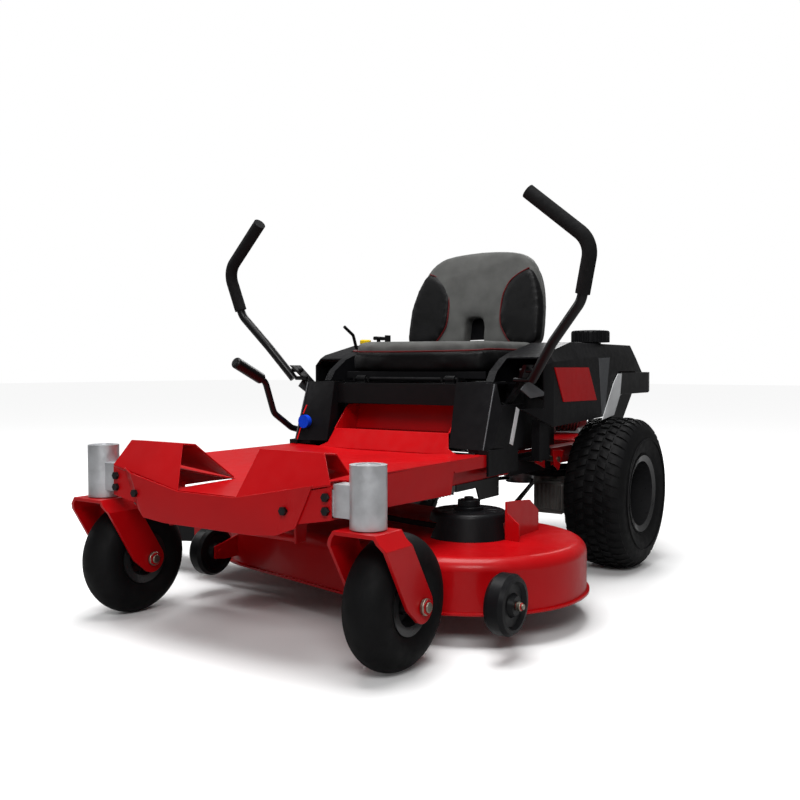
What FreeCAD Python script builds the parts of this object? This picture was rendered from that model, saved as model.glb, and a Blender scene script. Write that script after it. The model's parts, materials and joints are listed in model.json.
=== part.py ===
import FreeCAD, Part
import math
import os

# Zero turn mower, in millimetres. While it is being built the front faces -Y, the operator's left
# is +X, the ground is z = 0 and the rear axle stands over y = 0 on the centre plane x = 0.
# Every piece is then moved together, so that the origin is the bottom centre of the whole machine.

V = FreeCAD.Vector
X_AXIS = V(1, 0, 0)
Y_AXIS = V(0, 1, 0)
Z_AXIS = V(0, 0, 1)

# ---------------------------------------------------------------- driving dimensions
# Fits
RUNNING = 0.05              # radial clearance of a shaft that turns in its bore
SEAT_GAP = 0.2              # gap between two pieces of one wheel or one housing
BOLT_GAP = 0.6              # radial clearance of a bolt in its hole

# Rear wheels: 18 x 7.5 - 8 turf tyres
REAR_TYRE_R = 228.6
REAR_TYRE_W = 190.0
REAR_RIM_R = 101.6
REAR_RIM_LIP = 14.0
REAR_HALF_TRACK = 417.0
REAR_DISC_INSET = 20.0      # the wheel disc lies inboard of the tyre's middle
REAR_AXLE_R = 19.0
HUB_FLANGE_R = 64.0
HUB_FLANGE_T = 8.0
LUG_CIRCLE_R = 50.8
LUG_STUD_R = 6.3

# Caster wheels: 11 x 4 - 5 smooth tyres
CASTER_TYRE_R = 139.7
CASTER_TYRE_W = 102.0
CASTER_RIM_R = 50.8
CASTER_RIM_LIP = 12.7
CASTER_HALF_TRACK = 396.0
CASTER_PIVOT_Y = -1261.0
CASTER_TRAIL = 88.0
CASTER_AXLE_R = 9.5
CASTER_HUB_HALF = 57.0
KINGPIN_R = 12.65
FORK_HALF_GAP = 62.0
FORK_PLATE = 8.0
FORK_WIDTH = 89.0
FORK_HEADROOM = 10.6        # from the tyre's top to the fork's crown
HOUSING_R = 36.5
HOUSING_HEIGHT = 124.0
BUSH_R = 23.8
BUSH_LENGTH = 30.0

# Front beam and frame
BEAM_FACE_Y = -1288.0
BEAM_DEPTH = 48.0
BEAM_HALF = 325.0
BEAM_TOP = 378.0
BEAM_MIDDLE_TOP = 334.0
BEAM_END_BOTTOM = 312.0
BEAM_WALL = 4.0
RAIL_INNER = 255.0
RAIL_WIDTH = 45.0
RAIL_BOTTOM = 322.0
RAIL_HEIGHT = 50.0
RAIL_WALL = 3.5
RAIL_REAR_Y = 330.0
SHEET = 3.0

# Floor and foot rests
FLOOR_HALF = 323.0
FLOOR_REAR_Y = -650.0
FLOOR_SIDE_Z = 388.0
FLOOR_REAR_Z = 381.0
SKIRT_BOTTOM = 308.0
SKIRT_REAR_Y = -831.0
REST_TOP_Z = 440.0
REST_IN = 116.0
REST_OUT = 291.0
FLOOR_FRONT_Y = -1230.0
NOTCH_HALF = 85.0
NOTCH_Z = 340.0

# Seat box, consoles and fenders
BOX_HALF = 254.0
BOX_FRONT_Y = -590.0
BOX_REAR_Y = -100.0
BOX_TOP = 565.0
POD_IN = 204.0
POD_OUT = 330.0
POD_TOP = 570.0
POD_BOTTOM = 400.0
FENDER_IN = 262.0
FENDER_OUT = 402.0
FENDER_TOP = 681.0
SHELL_WALL = 4.0
STRUT_X = 364.0
STRUT_FRONT_Y = -436.0
STRUT_REAR_Y = -372.0
STRUT_TOP = 468.0
STRUT_T = 5.0

# Control levers
LEVER_Y = -528.0
LEVER_PIVOT_Z = 430.0
SWING_X = 310.0
SWING_Z = 505.0
LEVER_TUBE_R = 12.5
LEVER_GRIP_R = 18.0
PIVOT_PIN_R = 10.0
SWING_PIN_R = 6.0
TUBE_BEND_R = 62.0
ARM_POINTS = [(310.0, 505.0), (347.0, 556.0), (392.0, 616.0)]       # (x, z) of the flat arm
TUBE_POINTS = [(400.0, -560.0, 576.0), (472.0, -592.0, 672.0), (557.0, -618.0, 768.0),
               (592.0, -640.0, 905.0), (444.0, -665.0, 1030.0)]
GRIP_START = 0.13           # the grip starts this share of the way along the tube's third run
LIFT_PIVOT_Y = -470.0
LIFT_PIVOT_Z = 392.0
LIFT_LEVER_X = 340.0
LIFT_BAR_R = 9.0
LIFT_GRIP_R = 16.0

# small controls and the filler on the fenders, and the dial on the right console
FUEL_NECK = (345.0, -40.0)
FUEL_NECK_R = 32.0
KNOB_PLACE = (-318.0, -302.0)
KEY_PLACE = (-318.0, -176.0)
THROTTLE_PLACE = (-310.0, -240.0)
CHOKE_PLACE = (-310.0, -352.0)
CONTROL_PIN_R = 3.0
CONTROL_PIN_DROP = 34.0     # from the fender's top down to the small levers' pins
DIAL_PLACE = (-280.0, -640.0, 453.0)
DIAL_R = 19.0
DIAL_STEM_R = 5.0

# Cutting deck: two blades, side discharge on the operator's right
SPINDLE_LEFT = (308.0, -720.0)
SPINDLE_RIGHT = (-229.0, -610.0)
CHAMBER_R = 287.0
DECK_BOTTOM = 72.0
DECK_TOP = 195.0
DECK_ROUND = 30.0
DECK_SHEET = 3.5
BLADE_LENGTH = 533.0
BLADE_WIDTH = 62.0
BLADE_T = 5.0
BLADE_Z = 88.0
SPINDLE_R = 12.5
DISCHARGE_X = -520.0
DISCHARGE_FRONT_Y = -858.0
DISCHARGE_REAR_Y = -630.0
DEFLECTOR_REACH = 292.0
DEFLECTOR_HINGE_R = 4.0
SCALP_R = 65.0
SCALP_W = 50.0
SCALP_LEFT = (552.0, -990.0)
SCALP_RIGHT = (-361.0, -944.0)
SCALP_Z = 117.0
SCALP_AXLE_R = 8.0
HANGER_X = 419.0
HANGER_T = 6.0
HANGER_OUTLINE = ((-120.0, -6.0), (53.0, -6.0), (53.0, 51.0), (4.0, 83.0), (-120.0, 93.0))

# Drive line
CRANK_Y = 190.0
DECK_BELT_Z = 213.0
DRIVE_BELT_Z = 274.0
BELT_H = 12.0
CRANK_SHEAVE_R = 50.0
DECK_SHEAVE_R = 70.0
HYDRO_SHEAVE_R = 55.0
HYDRO_X = 205.0
HYDRO_Y = -40.0
FAN_R = 75.0
ENGINE_PLATE_T = 6.0

# Seat
SEAT_HALF = 250.0
SEAT_FRONT_Y = -530.0
SEAT_REAR_Y = -130.0
SEAT_BOTTOM = 596.0
SEAT_TOP = 680.0
BACK_HALF = 236.0
BACK_TOP = 980.0
BACK_FRONT_Y = -182.0
BACK_THICKNESS = 84.0
BACK_LEAN = 60.0
SEAT_HINGE_Y = -545.0
SEAT_HINGE_Z = 577.0
SEAT_PIN_R = 5.0

# Engine guard
GUARD_BOTTOM = 525.0
GUARD_TOP = 593.0
GUARD_REAR_Y = 490.0
GUARD_T = 6.0

# Hitch
HITCH_R = 9.5
HITCH_PLATE = 8.0

# Values worked out from the ones above
RAIL_TOP = RAIL_BOTTOM + RAIL_HEIGHT
CASTER_AXLE_Y = CASTER_PIVOT_Y + CASTER_TRAIL
FORK_CROWN_Z = 2 * CASTER_TYRE_R + FORK_HEADROOM
FORK_TOP = FORK_CROWN_Z + FORK_PLATE
HOUSING_BOTTOM = FORK_TOP + 2.0
HOUSING_TOP = HOUSING_BOTTOM + HOUSING_HEIGHT
ENGINE_BASE = RAIL_TOP + ENGINE_PLATE_T
HITCH_Y = RAIL_REAR_Y + 40.0
HITCH_TOP = RAIL_BOTTOM + 40.0


# ---------------------------------------------------------------- shape helpers
def box(x0, x1, y0, y1, z0, z1):
    return Part.makeBox(x1 - x0, y1 - y0, z1 - z0, V(x0, y0, z0))


def cylinder(centre, axis, radius, length):
    """A cylinder that starts at centre and runs along axis."""
    return Part.makeCylinder(radius, length, V(*centre), axis)


def ring(centre, axis, outer, inner, length):
    return cylinder(centre, axis, outer, length).cut(cylinder(centre, axis, inner, length))


def closed_face(points):
    corners = [V(*p) for p in points]
    return Part.Face(Part.makePolygon(corners + corners[:1]))


def plan_plate(points, z0, z1):
    """A prism along Z whose outline is a list of (x, y)."""
    return closed_face([(x, y, z0) for x, y in points]).extrude(V(0, 0, z1 - z0))


def side_plate(points, x0, x1):
    """A prism along X whose outline is a list of (y, z)."""
    return closed_face([(x0, y, z) for y, z in points]).extrude(V(x1 - x0, 0, 0))


def front_plate(points, y0, y1):
    """A prism along Y whose outline is a list of (x, z)."""
    return closed_face([(x, y0, z) for x, z in points]).extrude(V(0, y1 - y0, 0))


def fuse(shapes):
    whole = shapes[0]
    if len(shapes) > 1:
        whole = whole.multiFuse(shapes[1:])
    return whole.removeSplitter()


def sheet(facets, thickness):
    """A folded sheet: flat facets, each thickened by the same vector so that their folds meet."""
    pieces = []
    for facet in facets:
        for last in range(2, len(facet)):
            triangle = [facet[0], facet[last - 1], facet[last]]
            pieces.append(closed_face(triangle).extrude(V(*thickness)))
    return fuse(pieces)


def loft(sections):
    """A ruled solid through closed outlines that have the same number of points."""
    wires = []
    for section in sections:
        corners = [V(*p) for p in section]
        wires.append(Part.makePolygon(corners + corners[:1]))
    return Part.makeLoft(wires, True, True)


def mirrored(shape):
    """The same piece on the other side of the machine."""
    return shape.mirror(V(0, 0, 0), X_AXIS)


def hexagon(centre, axis, across_flats, height):
    """A hexagonal head that starts at centre and runs along axis."""
    radius = across_flats / math.sqrt(3)
    corners = []
    for step in range(6):
        angle = math.radians(60 * step)
        corners.append(V(radius * math.cos(angle), radius * math.sin(angle), 0))
    head = Part.Face(Part.makePolygon(corners + corners[:1])).extrude(V(0, 0, height))
    head.Placement = FreeCAD.Placement(V(*centre), FreeCAD.Rotation(Z_AXIS, axis))
    return head


def rounded_path(points, radius):
    """A wire of straight runs joined by tangent arcs of one radius, or less where a run is short."""
    knots = [V(*p) for p in points]
    edges = []
    start = knots[0]
    for i in range(1, len(knots) - 1):
        before = (knots[i - 1] - knots[i]).normalize()
        after = (knots[i + 1] - knots[i]).normalize()
        half_angle = before.getAngle(after) / 2
        shortest = min((knots[i - 1] - knots[i]).Length, (knots[i + 1] - knots[i]).Length)
        setback = min(radius / math.tan(half_angle), 0.45 * shortest)
        bend = setback * math.tan(half_angle)
        first = knots[i] + before * setback
        last = knots[i] + after * setback
        inward = (before + after).normalize()
        middle = knots[i] + inward * (bend / math.sin(half_angle) - bend)
        edges.append(Part.LineSegment(start, first).toShape())
        edges.append(Part.Arc(first, middle, last).toShape())
        start = last
    edges.append(Part.LineSegment(start, knots[-1]).toShape())
    return Part.Wire(edges)


def bar(points, bend_radius, radius):
    """A round bar along a path with rounded corners."""
    path = rounded_path(points, bend_radius)
    start = V(*points[0])
    direction = V(*points[1]) - start
    section = Part.Wire([Part.makeCircle(radius, start, direction)])
    return path.makePipeShell([section], True, False)


def revolved(profile, centre):
    """A solid turned about the X axis through centre: profile is a closed wire in (axial, radial)."""
    face = Part.Face(profile)
    face.translate(V(*centre))
    return face.revolve(V(*centre), X_AXIS, 360)


def profile_wire(points):
    """A closed outline in (axial, radial), in the plane that holds X and Z."""
    corners = [V(a, 0, r) for a, r in points]
    return Part.makePolygon(corners + corners[:1])


def arc_edge(first, middle, last):
    def in_plane(p):
        return V(p[0], 0, p[1])
    return Part.Arc(in_plane(first), in_plane(middle), in_plane(last)).toShape()


def line_edge(first, last):
    return Part.LineSegment(V(first[0], 0, first[1]), V(last[0], 0, last[1])).toShape()


def tyre(centre, outer_r, width, bead_r, bead_half, shoulder_half, shoulder_r, wall):
    """An open-bellied tyre: rounded crown, bulged side walls and two beads on the rim."""
    half = width / 2
    middle_r = (bead_r + shoulder_r) / 2
    edges = [
        arc_edge((bead_half, bead_r), (half, middle_r), (shoulder_half, shoulder_r)),
        arc_edge((shoulder_half, shoulder_r), (0, outer_r), (-shoulder_half, shoulder_r)),
        arc_edge((-shoulder_half, shoulder_r), (-half, middle_r), (-bead_half, bead_r)),
        line_edge((-bead_half, bead_r), (wall - bead_half, bead_r)),
        arc_edge((wall - bead_half, bead_r), (wall - half, middle_r),
                 (wall - shoulder_half, shoulder_r - wall)),
        arc_edge((wall - shoulder_half, shoulder_r - wall), (0, outer_r - wall),
                 (shoulder_half - wall, shoulder_r - wall)),
        arc_edge((shoulder_half - wall, shoulder_r - wall), (half - wall, middle_r),
                 (bead_half - wall, bead_r)),
        line_edge((bead_half - wall, bead_r), (bead_half, bead_r)),
    ]
    return revolved(Part.Wire(edges), centre)


def loop_wire(circles, z):
    """The taut loop around some circles (x, y, radius), which are listed counterclockwise."""
    tangents = []
    for i, (x1, y1, r1) in enumerate(circles):
        x2, y2, r2 = circles[(i + 1) % len(circles)]
        distance = math.hypot(x2 - x1, y2 - y1)
        heading = math.atan2(y2 - y1, x2 - x1)
        normal = heading - math.pi / 2 + math.asin((r2 - r1) / distance)
        first = V(x1 + r1 * math.cos(normal), y1 + r1 * math.sin(normal), z)
        last = V(x2 + r2 * math.cos(normal), y2 + r2 * math.sin(normal), z)
        tangents.append((first, last, normal))
    edges = []
    for i, (first, last, normal) in enumerate(tangents):
        edges.append(Part.LineSegment(first, last).toShape())
        following = tangents[(i + 1) % len(tangents)]
        x, y, r = circles[(i + 1) % len(circles)]
        turn = (following[2] - normal) % (2 * math.pi)
        middle = V(x + r * math.cos(normal + turn / 2), y + r * math.sin(normal + turn / 2), z)
        edges.append(Part.Arc(last, middle, following[0]).toShape())
    return Part.Wire(edges)


def loop_prism(circles, z0, z1):
    return Part.Face(loop_wire(circles, z0)).extrude(V(0, 0, z1 - z0))


def belt(circles, z):
    """A belt around sheaves: it lies in their grooves, clear of the groove's floor and cheeks."""
    inner = [(x, y, r - 5) for x, y, r in circles]
    outer = [(x, y, r + 3) for x, y, r in circles]
    return loop_prism(outer, z, z + BELT_H).cut(loop_prism(inner, z, z + BELT_H))


def sheave(x, y, radius, belt_z):
    """A pulley with one groove for the belt that starts at belt_z."""
    cheek = 2.0
    gap = 1.0
    groove = BELT_H + 2 * gap
    start = belt_z - gap - cheek
    body = cylinder((x, y, start), Z_AXIS, radius + 6, groove + 2 * cheek)
    cut = ring((x, y, belt_z - gap), Z_AXIS, radius + 12, radius - 6.5, groove)
    return body.cut(cut)


# ---------------------------------------------------------------- frame
def front_beam_outline(inset):
    """The front beam's outline in (x, z): it drops towards the middle."""
    right = [(NOTCH_HALF + 40, BEAM_MIDDLE_TOP - inset), (BEAM_HALF, BEAM_TOP - inset),
             (BEAM_HALF, BEAM_END_BOTTOM + inset), (235, 296 + inset), (200, 288 + inset),
             (130, 266 + inset)]
    left = [(-x, z) for x, z in reversed(right)]
    return right + left


def main_frame():
    """Two tube rails, their cross members, the engine plate, the hitch and the deck's front rod."""
    rail = box(RAIL_INNER, RAIL_INNER + RAIL_WIDTH, BEAM_FACE_Y + BEAM_DEPTH, RAIL_REAR_Y,
               RAIL_BOTTOM, RAIL_TOP)
    hollow = box(RAIL_INNER + RAIL_WALL, RAIL_INNER + RAIL_WIDTH - RAIL_WALL,
                 BEAM_FACE_Y + BEAM_DEPTH - 1, RAIL_REAR_Y + 1,
                 RAIL_BOTTOM + RAIL_WALL, RAIL_TOP - RAIL_WALL)
    rail = rail.cut(hollow)
    pieces = [rail, mirrored(rail)]
    for y, depth in ((-905, 40), (-470, 40), (RAIL_REAR_Y - 50, 50)):
        pieces.append(box(-RAIL_INNER, RAIL_INNER, y, y + depth, RAIL_BOTTOM + 6, RAIL_TOP - 6))
    engine_plate = box(-RAIL_INNER - 30, RAIL_INNER + 30, 20, RAIL_REAR_Y, RAIL_TOP, ENGINE_BASE)
    engine_plate = engine_plate.cut(cylinder((0, CRANK_Y, RAIL_TOP - 1), Z_AXIS, 40, 20))
    pieces.append(engine_plate)
    hitch = plan_plate([(-90, RAIL_REAR_Y), (90, RAIL_REAR_Y), (60, HITCH_Y + 28),
                        (-60, HITCH_Y + 28)], HITCH_TOP - HITCH_PLATE, HITCH_TOP)
    hitch = hitch.cut(cylinder((0, HITCH_Y, HITCH_TOP - 20), Z_AXIS, HITCH_R, 40))
    pieces.append(hitch)
    bracket = side_plate([(-1238, BEAM_END_BOTTOM + 30), (-1238, 244), (-1206, 244),
                          (-1190, BEAM_END_BOTTOM + 30)], 187, 193)
    arm = box(193, RAIL_INNER, -1238, -1200, RAIL_BOTTOM + 18, RAIL_BOTTOM + 38)
    pieces += [bracket, arm, mirrored(bracket), mirrored(arm)]
    pieces.append(cylinder((-187, -1222, 252), X_AXIS, 8, 374))
    return Part.makeCompound(pieces)


def beam_bolts():
    """Centres (x, z) of the bolts that hold the caster housings and the front panel."""
    return [(314.0, 330.0), (314.0, 357.0), (223.0, 325.0)]


def front_beam():
    outer = front_plate(front_beam_outline(0), BEAM_FACE_Y, BEAM_FACE_Y + BEAM_DEPTH)
    inner = front_plate(front_beam_outline(BEAM_WALL), BEAM_FACE_Y + BEAM_WALL,
                        BEAM_FACE_Y + BEAM_DEPTH - BEAM_WALL)
    beam = outer.cut(inner)
    for side in (-1, 1):
        for x, z in beam_bolts():
            beam = beam.cut(cylinder((side * x, BEAM_FACE_Y - 5, z), Y_AXIS, 5 + BOLT_GAP, 70))
    return beam


def front_panels():
    """The centre panel and the two tent-shaped foot rests that stand on the front beam."""
    face = -1309.0
    ends = BEAM_FACE_Y - 4.0
    centre = sheet([
        [(-NOTCH_HALF, face, NOTCH_Z), (NOTCH_HALF, face, NOTCH_Z), (130, face, 266),
         (-130, face, 266)],
        [(NOTCH_HALF, face, NOTCH_Z), (240, face, 370), (198, face, 272), (130, face, 266)],
        [(-NOTCH_HALF, face, NOTCH_Z), (-240, face, 370), (-198, face, 272), (-130, face, 266)],
        [(240, face, 370), (282, ends, 378), (237, ends, 288), (198, face, 272)],
        [(-240, face, 370), (-282, ends, 378), (-237, ends, 288), (-198, face, 272)],
    ], (0, SHEET, 0))
    for side in (-1, 1):
        centre = centre.cut(cylinder((side * 223, face - 5, 325), Y_AXIS, 5 + BOLT_GAP, 40))
    front_in = (NOTCH_HALF + 2, face + 4, NOTCH_Z + 1)
    front_out = (BEAM_HALF, BEAM_FACE_Y, BEAM_TOP + 5)
    top_in = (REST_IN, -1263, REST_TOP_Z)
    top_out = (REST_OUT, -1263, REST_TOP_Z)
    back_in = (REST_IN, -1225, REST_TOP_Z - 4)
    back_out = (REST_OUT, -1225, REST_TOP_Z - 4)
    foot_in = (REST_IN, -1104, NOTCH_Z + 10)
    foot_out = (300, -1195, FLOOR_SIDE_Z + 6)
    rest = sheet([
        [front_in, front_out, top_out, top_in],
        [top_in, top_out, back_out, back_in],
        [back_in, back_out, foot_out, foot_in],
    ], (0, 0, -SHEET - 1))
    return Part.makeCompound([centre, rest, mirrored(rest)])


def floor_pan():
    """The floor: a low middle between the foot rests, a ramp and level sides with skirts."""
    rear = FLOOR_REAR_Y
    half = FLOOR_HALF
    notch = REST_IN + 2.0
    front_y = BEAM_FACE_Y - 14.0
    low = NOTCH_Z + 1.0
    ramp_z = FLOOR_REAR_Z - 4.0
    facets = [[(-notch, front_y, low), (notch, front_y, low), (notch, -1096, low + 3),
               (-notch, -1096, low + 3)],
              [(-notch, -1096, low + 3), (notch, -1096, low + 3), (notch, -905, ramp_z),
               (-notch, -905, ramp_z)],
              [(-notch, -905, ramp_z), (notch, -905, ramp_z), (notch, rear, FLOOR_REAR_Z),
               (-notch, rear, FLOOR_REAR_Z)]]
    for side in (-1, 1):
        facets.append([(side * notch, -1096, low + 3), (side * half, -1190, FLOOR_SIDE_Z),
                       (side * half, -905, FLOOR_SIDE_Z), (side * notch, -905, ramp_z)])
        facets.append([(side * notch, -905, ramp_z), (side * half, -905, FLOOR_SIDE_Z),
                       (side * half, rear, FLOOR_SIDE_Z), (side * notch, rear, FLOOR_REAR_Z)])
        facets.append([(side * notch, -1096, low + 3), (side * 300, FLOOR_FRONT_Y, BEAM_TOP + 6),
                       (side * half, FLOOR_FRONT_Y, BEAM_TOP + 6),
                       (side * half, -1190, FLOOR_SIDE_Z)])
    pan = sheet(facets, (0, 0, -SHEET))
    skirt = side_plate([(FLOOR_FRONT_Y, SKIRT_BOTTOM + 8), (SKIRT_REAR_Y, SKIRT_BOTTOM),
                        (SKIRT_REAR_Y + 20, FLOOR_SIDE_Z - 1), (FLOOR_FRONT_Y, BEAM_TOP + 4)],
                       half - SHEET, half)
    rear_skirt = side_plate([(SKIRT_REAR_Y + 18, FLOOR_SIDE_Z - 30), (rear + 2, FLOOR_SIDE_Z - 30),
                             (rear, FLOOR_SIDE_Z - 1), (SKIRT_REAR_Y, FLOOR_SIDE_Z - 1)],
                            half - SHEET, half)
    sides = [skirt, rear_skirt, mirrored(skirt), mirrored(rear_skirt)]
    rails = box(RAIL_INNER - 1, RAIL_INNER + RAIL_WIDTH + 1, -1300, 400, 300, RAIL_TOP + 0.5)
    return fuse([pan] + sides).cut(rails.fuse(mirrored(rails)))


def toe_panel():
    """The red panel in front of the seat box, its shelf, its back and its two cheeks."""
    lower = [(-202, -642.6, 397), (-236, FLOOR_REAR_Y, 382), (236, FLOOR_REAR_Y, 382),
             (202, -642.6, 397)]
    upper = [(-190, -624, 435), (190, -624, 435)]
    shelf = [(-190, -520, 430), (190, -520, 430)]
    crest = [(-190, -505, 503), (190, -505, 503)]
    facets = [lower + upper[::-1], upper + shelf[::-1], shelf + crest[::-1]]
    panel = sheet(facets, (0, SHEET, -SHEET))
    cheek = side_plate([(-624, 435), (-520, 430), (-505, 503), (-560, 503)], 190, 190 + SHEET)
    return fuse([panel, cheek, mirrored(cheek)])


def seat_box():
    """Side plates, front beam, tray and top of the box under the seat, with the lever pins."""
    outline = [(BOX_FRONT_Y, RAIL_TOP), (BOX_REAR_Y, RAIL_TOP), (BOX_REAR_Y, BOX_TOP),
               (BOX_FRONT_Y, BOX_TOP)]
    side = side_plate(outline, BOX_HALF - SHEET, BOX_HALF)
    pivot_pin = cylinder((BOX_HALF - 1, LEVER_Y, LEVER_PIVOT_Z), X_AXIS, PIVOT_PIN_R, 45)
    left = side.fuse(pivot_pin)
    lift_pin = cylinder((-LIFT_LEVER_X - 10, LIFT_PIVOT_Y, LIFT_PIVOT_Z), X_AXIS, PIVOT_PIN_R,
                        LIFT_LEVER_X + 10 - BOX_HALF + 1)
    right = mirrored(left).fuse(lift_pin)
    beam = box(-BOX_HALF, BOX_HALF, BOX_FRONT_Y, BOX_FRONT_Y + 30, 507, BOX_TOP)
    beam = beam.cut(box(-BOX_HALF + 5, BOX_HALF - 5, BOX_FRONT_Y + SHEET, BOX_FRONT_Y + 31,
                        506, BOX_TOP - SHEET))
    top = box(-BOX_HALF, BOX_HALF, BOX_FRONT_Y + 10, BOX_REAR_Y, BOX_TOP - SHEET, BOX_TOP)
    top = top.cut(box(-150, 150, -430, -160, BOX_TOP - 10, BOX_TOP + 10))
    tray = box(-BOX_HALF, BOX_HALF, -470, BOX_REAR_Y, RAIL_TOP, RAIL_TOP + SHEET)
    pieces = [left, right, beam, top, tray]
    for side_sign in (-1, 1):
        knuckle = ring((side_sign * 150 - 15, SEAT_HINGE_Y, SEAT_HINGE_Z), X_AXIS, 10,
                       SEAT_PIN_R + RUNNING, 30)
        foot = box(side_sign * 150 - 15, side_sign * 150 + 15, SEAT_HINGE_Y - 8, SEAT_HINGE_Y + 8,
                   BOX_TOP - 1, SEAT_HINGE_Z - 7)
        pieces.append(knuckle.fuse(foot))
    return fuse(pieces)


# ---------------------------------------------------------------- consoles and fenders
def pod_sections(inset):
    """Outlines of one front console at three distances from the centre plane."""
    def section(x, front_top, rear_top, rear_bottom, front_bottom):
        return [(x, front_top[0] + inset, front_top[1] - inset),
                (x, rear_top[0], rear_top[1] - inset),
                (x, rear_bottom[0], rear_bottom[1] - 2 * inset),
                (x, front_bottom[0] + inset, front_bottom[1] - 2 * inset)]
    return [
        section(POD_IN + inset, (-608, POD_TOP), (-440, POD_TOP), (-440, POD_BOTTOM),
                (-643, POD_BOTTOM)),
        section(POD_OUT - 18, (-596, POD_TOP - 2), (-440, POD_TOP - 2), (-440, POD_BOTTOM - 4),
                (-655, POD_BOTTOM - 2)),
        section(POD_OUT - inset, (-566, POD_TOP - 6), (-440, 530), (-468, 393), (-632, 404)),
    ]


def console(lift_slot):
    pod = loft(pod_sections(0)).cut(loft(pod_sections(SHELL_WALL)))
    box_clearance = box(POD_IN - 5, BOX_HALF + 1.5, BOX_FRONT_Y - 1.5, -430, 380, BOX_TOP + 1.5)
    pod = pod.cut(box_clearance)
    lever_slot = box(SWING_X - 20, POD_OUT + 5, LEVER_Y - 62, LEVER_Y + 62, 512, POD_TOP + 5)
    pod = pod.cut(lever_slot)
    foot = box(RAIL_INNER + RAIL_WIDTH + 1.5, POD_OUT, -660, -496, 334, POD_BOTTOM)
    foot = foot.cut(box(RAIL_INNER + RAIL_WIDTH, POD_OUT - SHELL_WALL, -660 + SHELL_WALL,
                        -496 - SHELL_WALL, 330, POD_BOTTOM + 1))
    floor_clearance = box(200, FLOOR_HALF + 1, -700, FLOOR_REAR_Y + 4, 300, FLOOR_SIDE_Z + 1)
    foot = foot.cut(floor_clearance)
    pod = pod.cut(floor_clearance).fuse(foot)
    if lift_slot:
        hole = cylinder((POD_OUT - 20, LIFT_PIVOT_Y, LIFT_PIVOT_Z), X_AXIS, PIVOT_PIN_R + 2, 40)
        pod = pod.cut(hole)
    return pod


def consoles():
    right = mirrored(console(True))
    x, y, z = DIAL_PLACE
    right = right.cut(cylinder((x, y - 5, z), Y_AXIS, DIAL_STEM_R + RUNNING, 60))
    return Part.makeCompound([console(False), right])


def fender_sections(inset):
    """Outlines of one fender from front to rear: (y, width out, crease z, bottom z, top z)."""
    stations = [
        (-556, 330, 556, 520, 566),
        (-532, 345, 580, 505, 599),
        (-478, 388, 612, 470, 633),
        (-430, FENDER_OUT, 624, 450, 648),
        (-278, FENDER_OUT, 631, 455, FENDER_TOP),
        (-83, FENDER_OUT, 640, 461, FENDER_TOP),
        (53, FENDER_OUT, 641, GUARD_TOP + 4, FENDER_TOP),
        (212, FENDER_OUT - 2, 640, GUARD_TOP + 4, FENDER_TOP),
        (331, FENDER_OUT - 22, 592, GUARD_TOP - 4, 598),
    ]
    sections = []
    for y, out, crease, bottom, top in stations:
        top_out = out - 20 if top > 600 else out - 12
        sections.append([
            (FENDER_IN + inset, y, bottom - 2 * inset),
            (FENDER_IN + inset, y, top - inset),
            (top_out - inset, y, top - inset),
            (out - inset, y, crease),
            (out - inset, y, bottom - 2 * inset),
        ])
    if inset:
        sections[0] = [(x, y + inset, z) for x, y, z in sections[0]]
        sections[-1] = [(x, y - inset, z) for x, y, z in sections[-1]]
    return sections


def fenders():
    shell = loft(fender_sections(0)).cut(loft(fender_sections(SHELL_WALL)))
    tyre_room = cylinder((310, 0, REAR_TYRE_R), X_AXIS, REAR_TYRE_R + 12, 120)
    pod_room = box(POD_IN, POD_OUT + 0.5, -600, -438, 380, POD_TOP + 1)
    lever_room = box(SWING_X - 25, 420, LEVER_Y - 62, LEVER_Y + 62, 500, 700)
    shell = shell.cut(tyre_room).cut(pod_room).cut(lever_room)
    left = shell.cut(cylinder((*FUEL_NECK, FENDER_TOP - 20), Z_AXIS, FUEL_NECK_R + 1.5, 40))
    right = mirrored(shell)
    for place, radius in ((KNOB_PLACE, 6), (KEY_PLACE, 4)):
        right = right.cut(cylinder((*place, 600), Z_AXIS, radius + RUNNING, 120))
    for place in (THROTTLE_PLACE, CHOKE_PLACE):
        x, y = place
        right = right.cut(box(x - 6, x + 6, y - 34, y + 34, 600, 700))
    strut = fender_strut()
    return Part.makeCompound([left, right, strut, mirrored(strut)])


def fender_strut():
    """The angle strut that holds the front of one fender up from the rail."""
    foot_z = RAIL_TOP - 16.0
    foot = box(RAIL_INNER + RAIL_WIDTH, STRUT_X, STRUT_FRONT_Y, STRUT_REAR_Y, foot_z, foot_z + STRUT_T)
    upright = box(STRUT_X - STRUT_T, STRUT_X, STRUT_FRONT_Y, STRUT_REAR_Y, foot_z, STRUT_TOP)
    lip = box(STRUT_X - 24, STRUT_X, STRUT_FRONT_Y, STRUT_FRONT_Y + STRUT_T, foot_z, STRUT_TOP)
    return fuse([foot, upright, lip])


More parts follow.
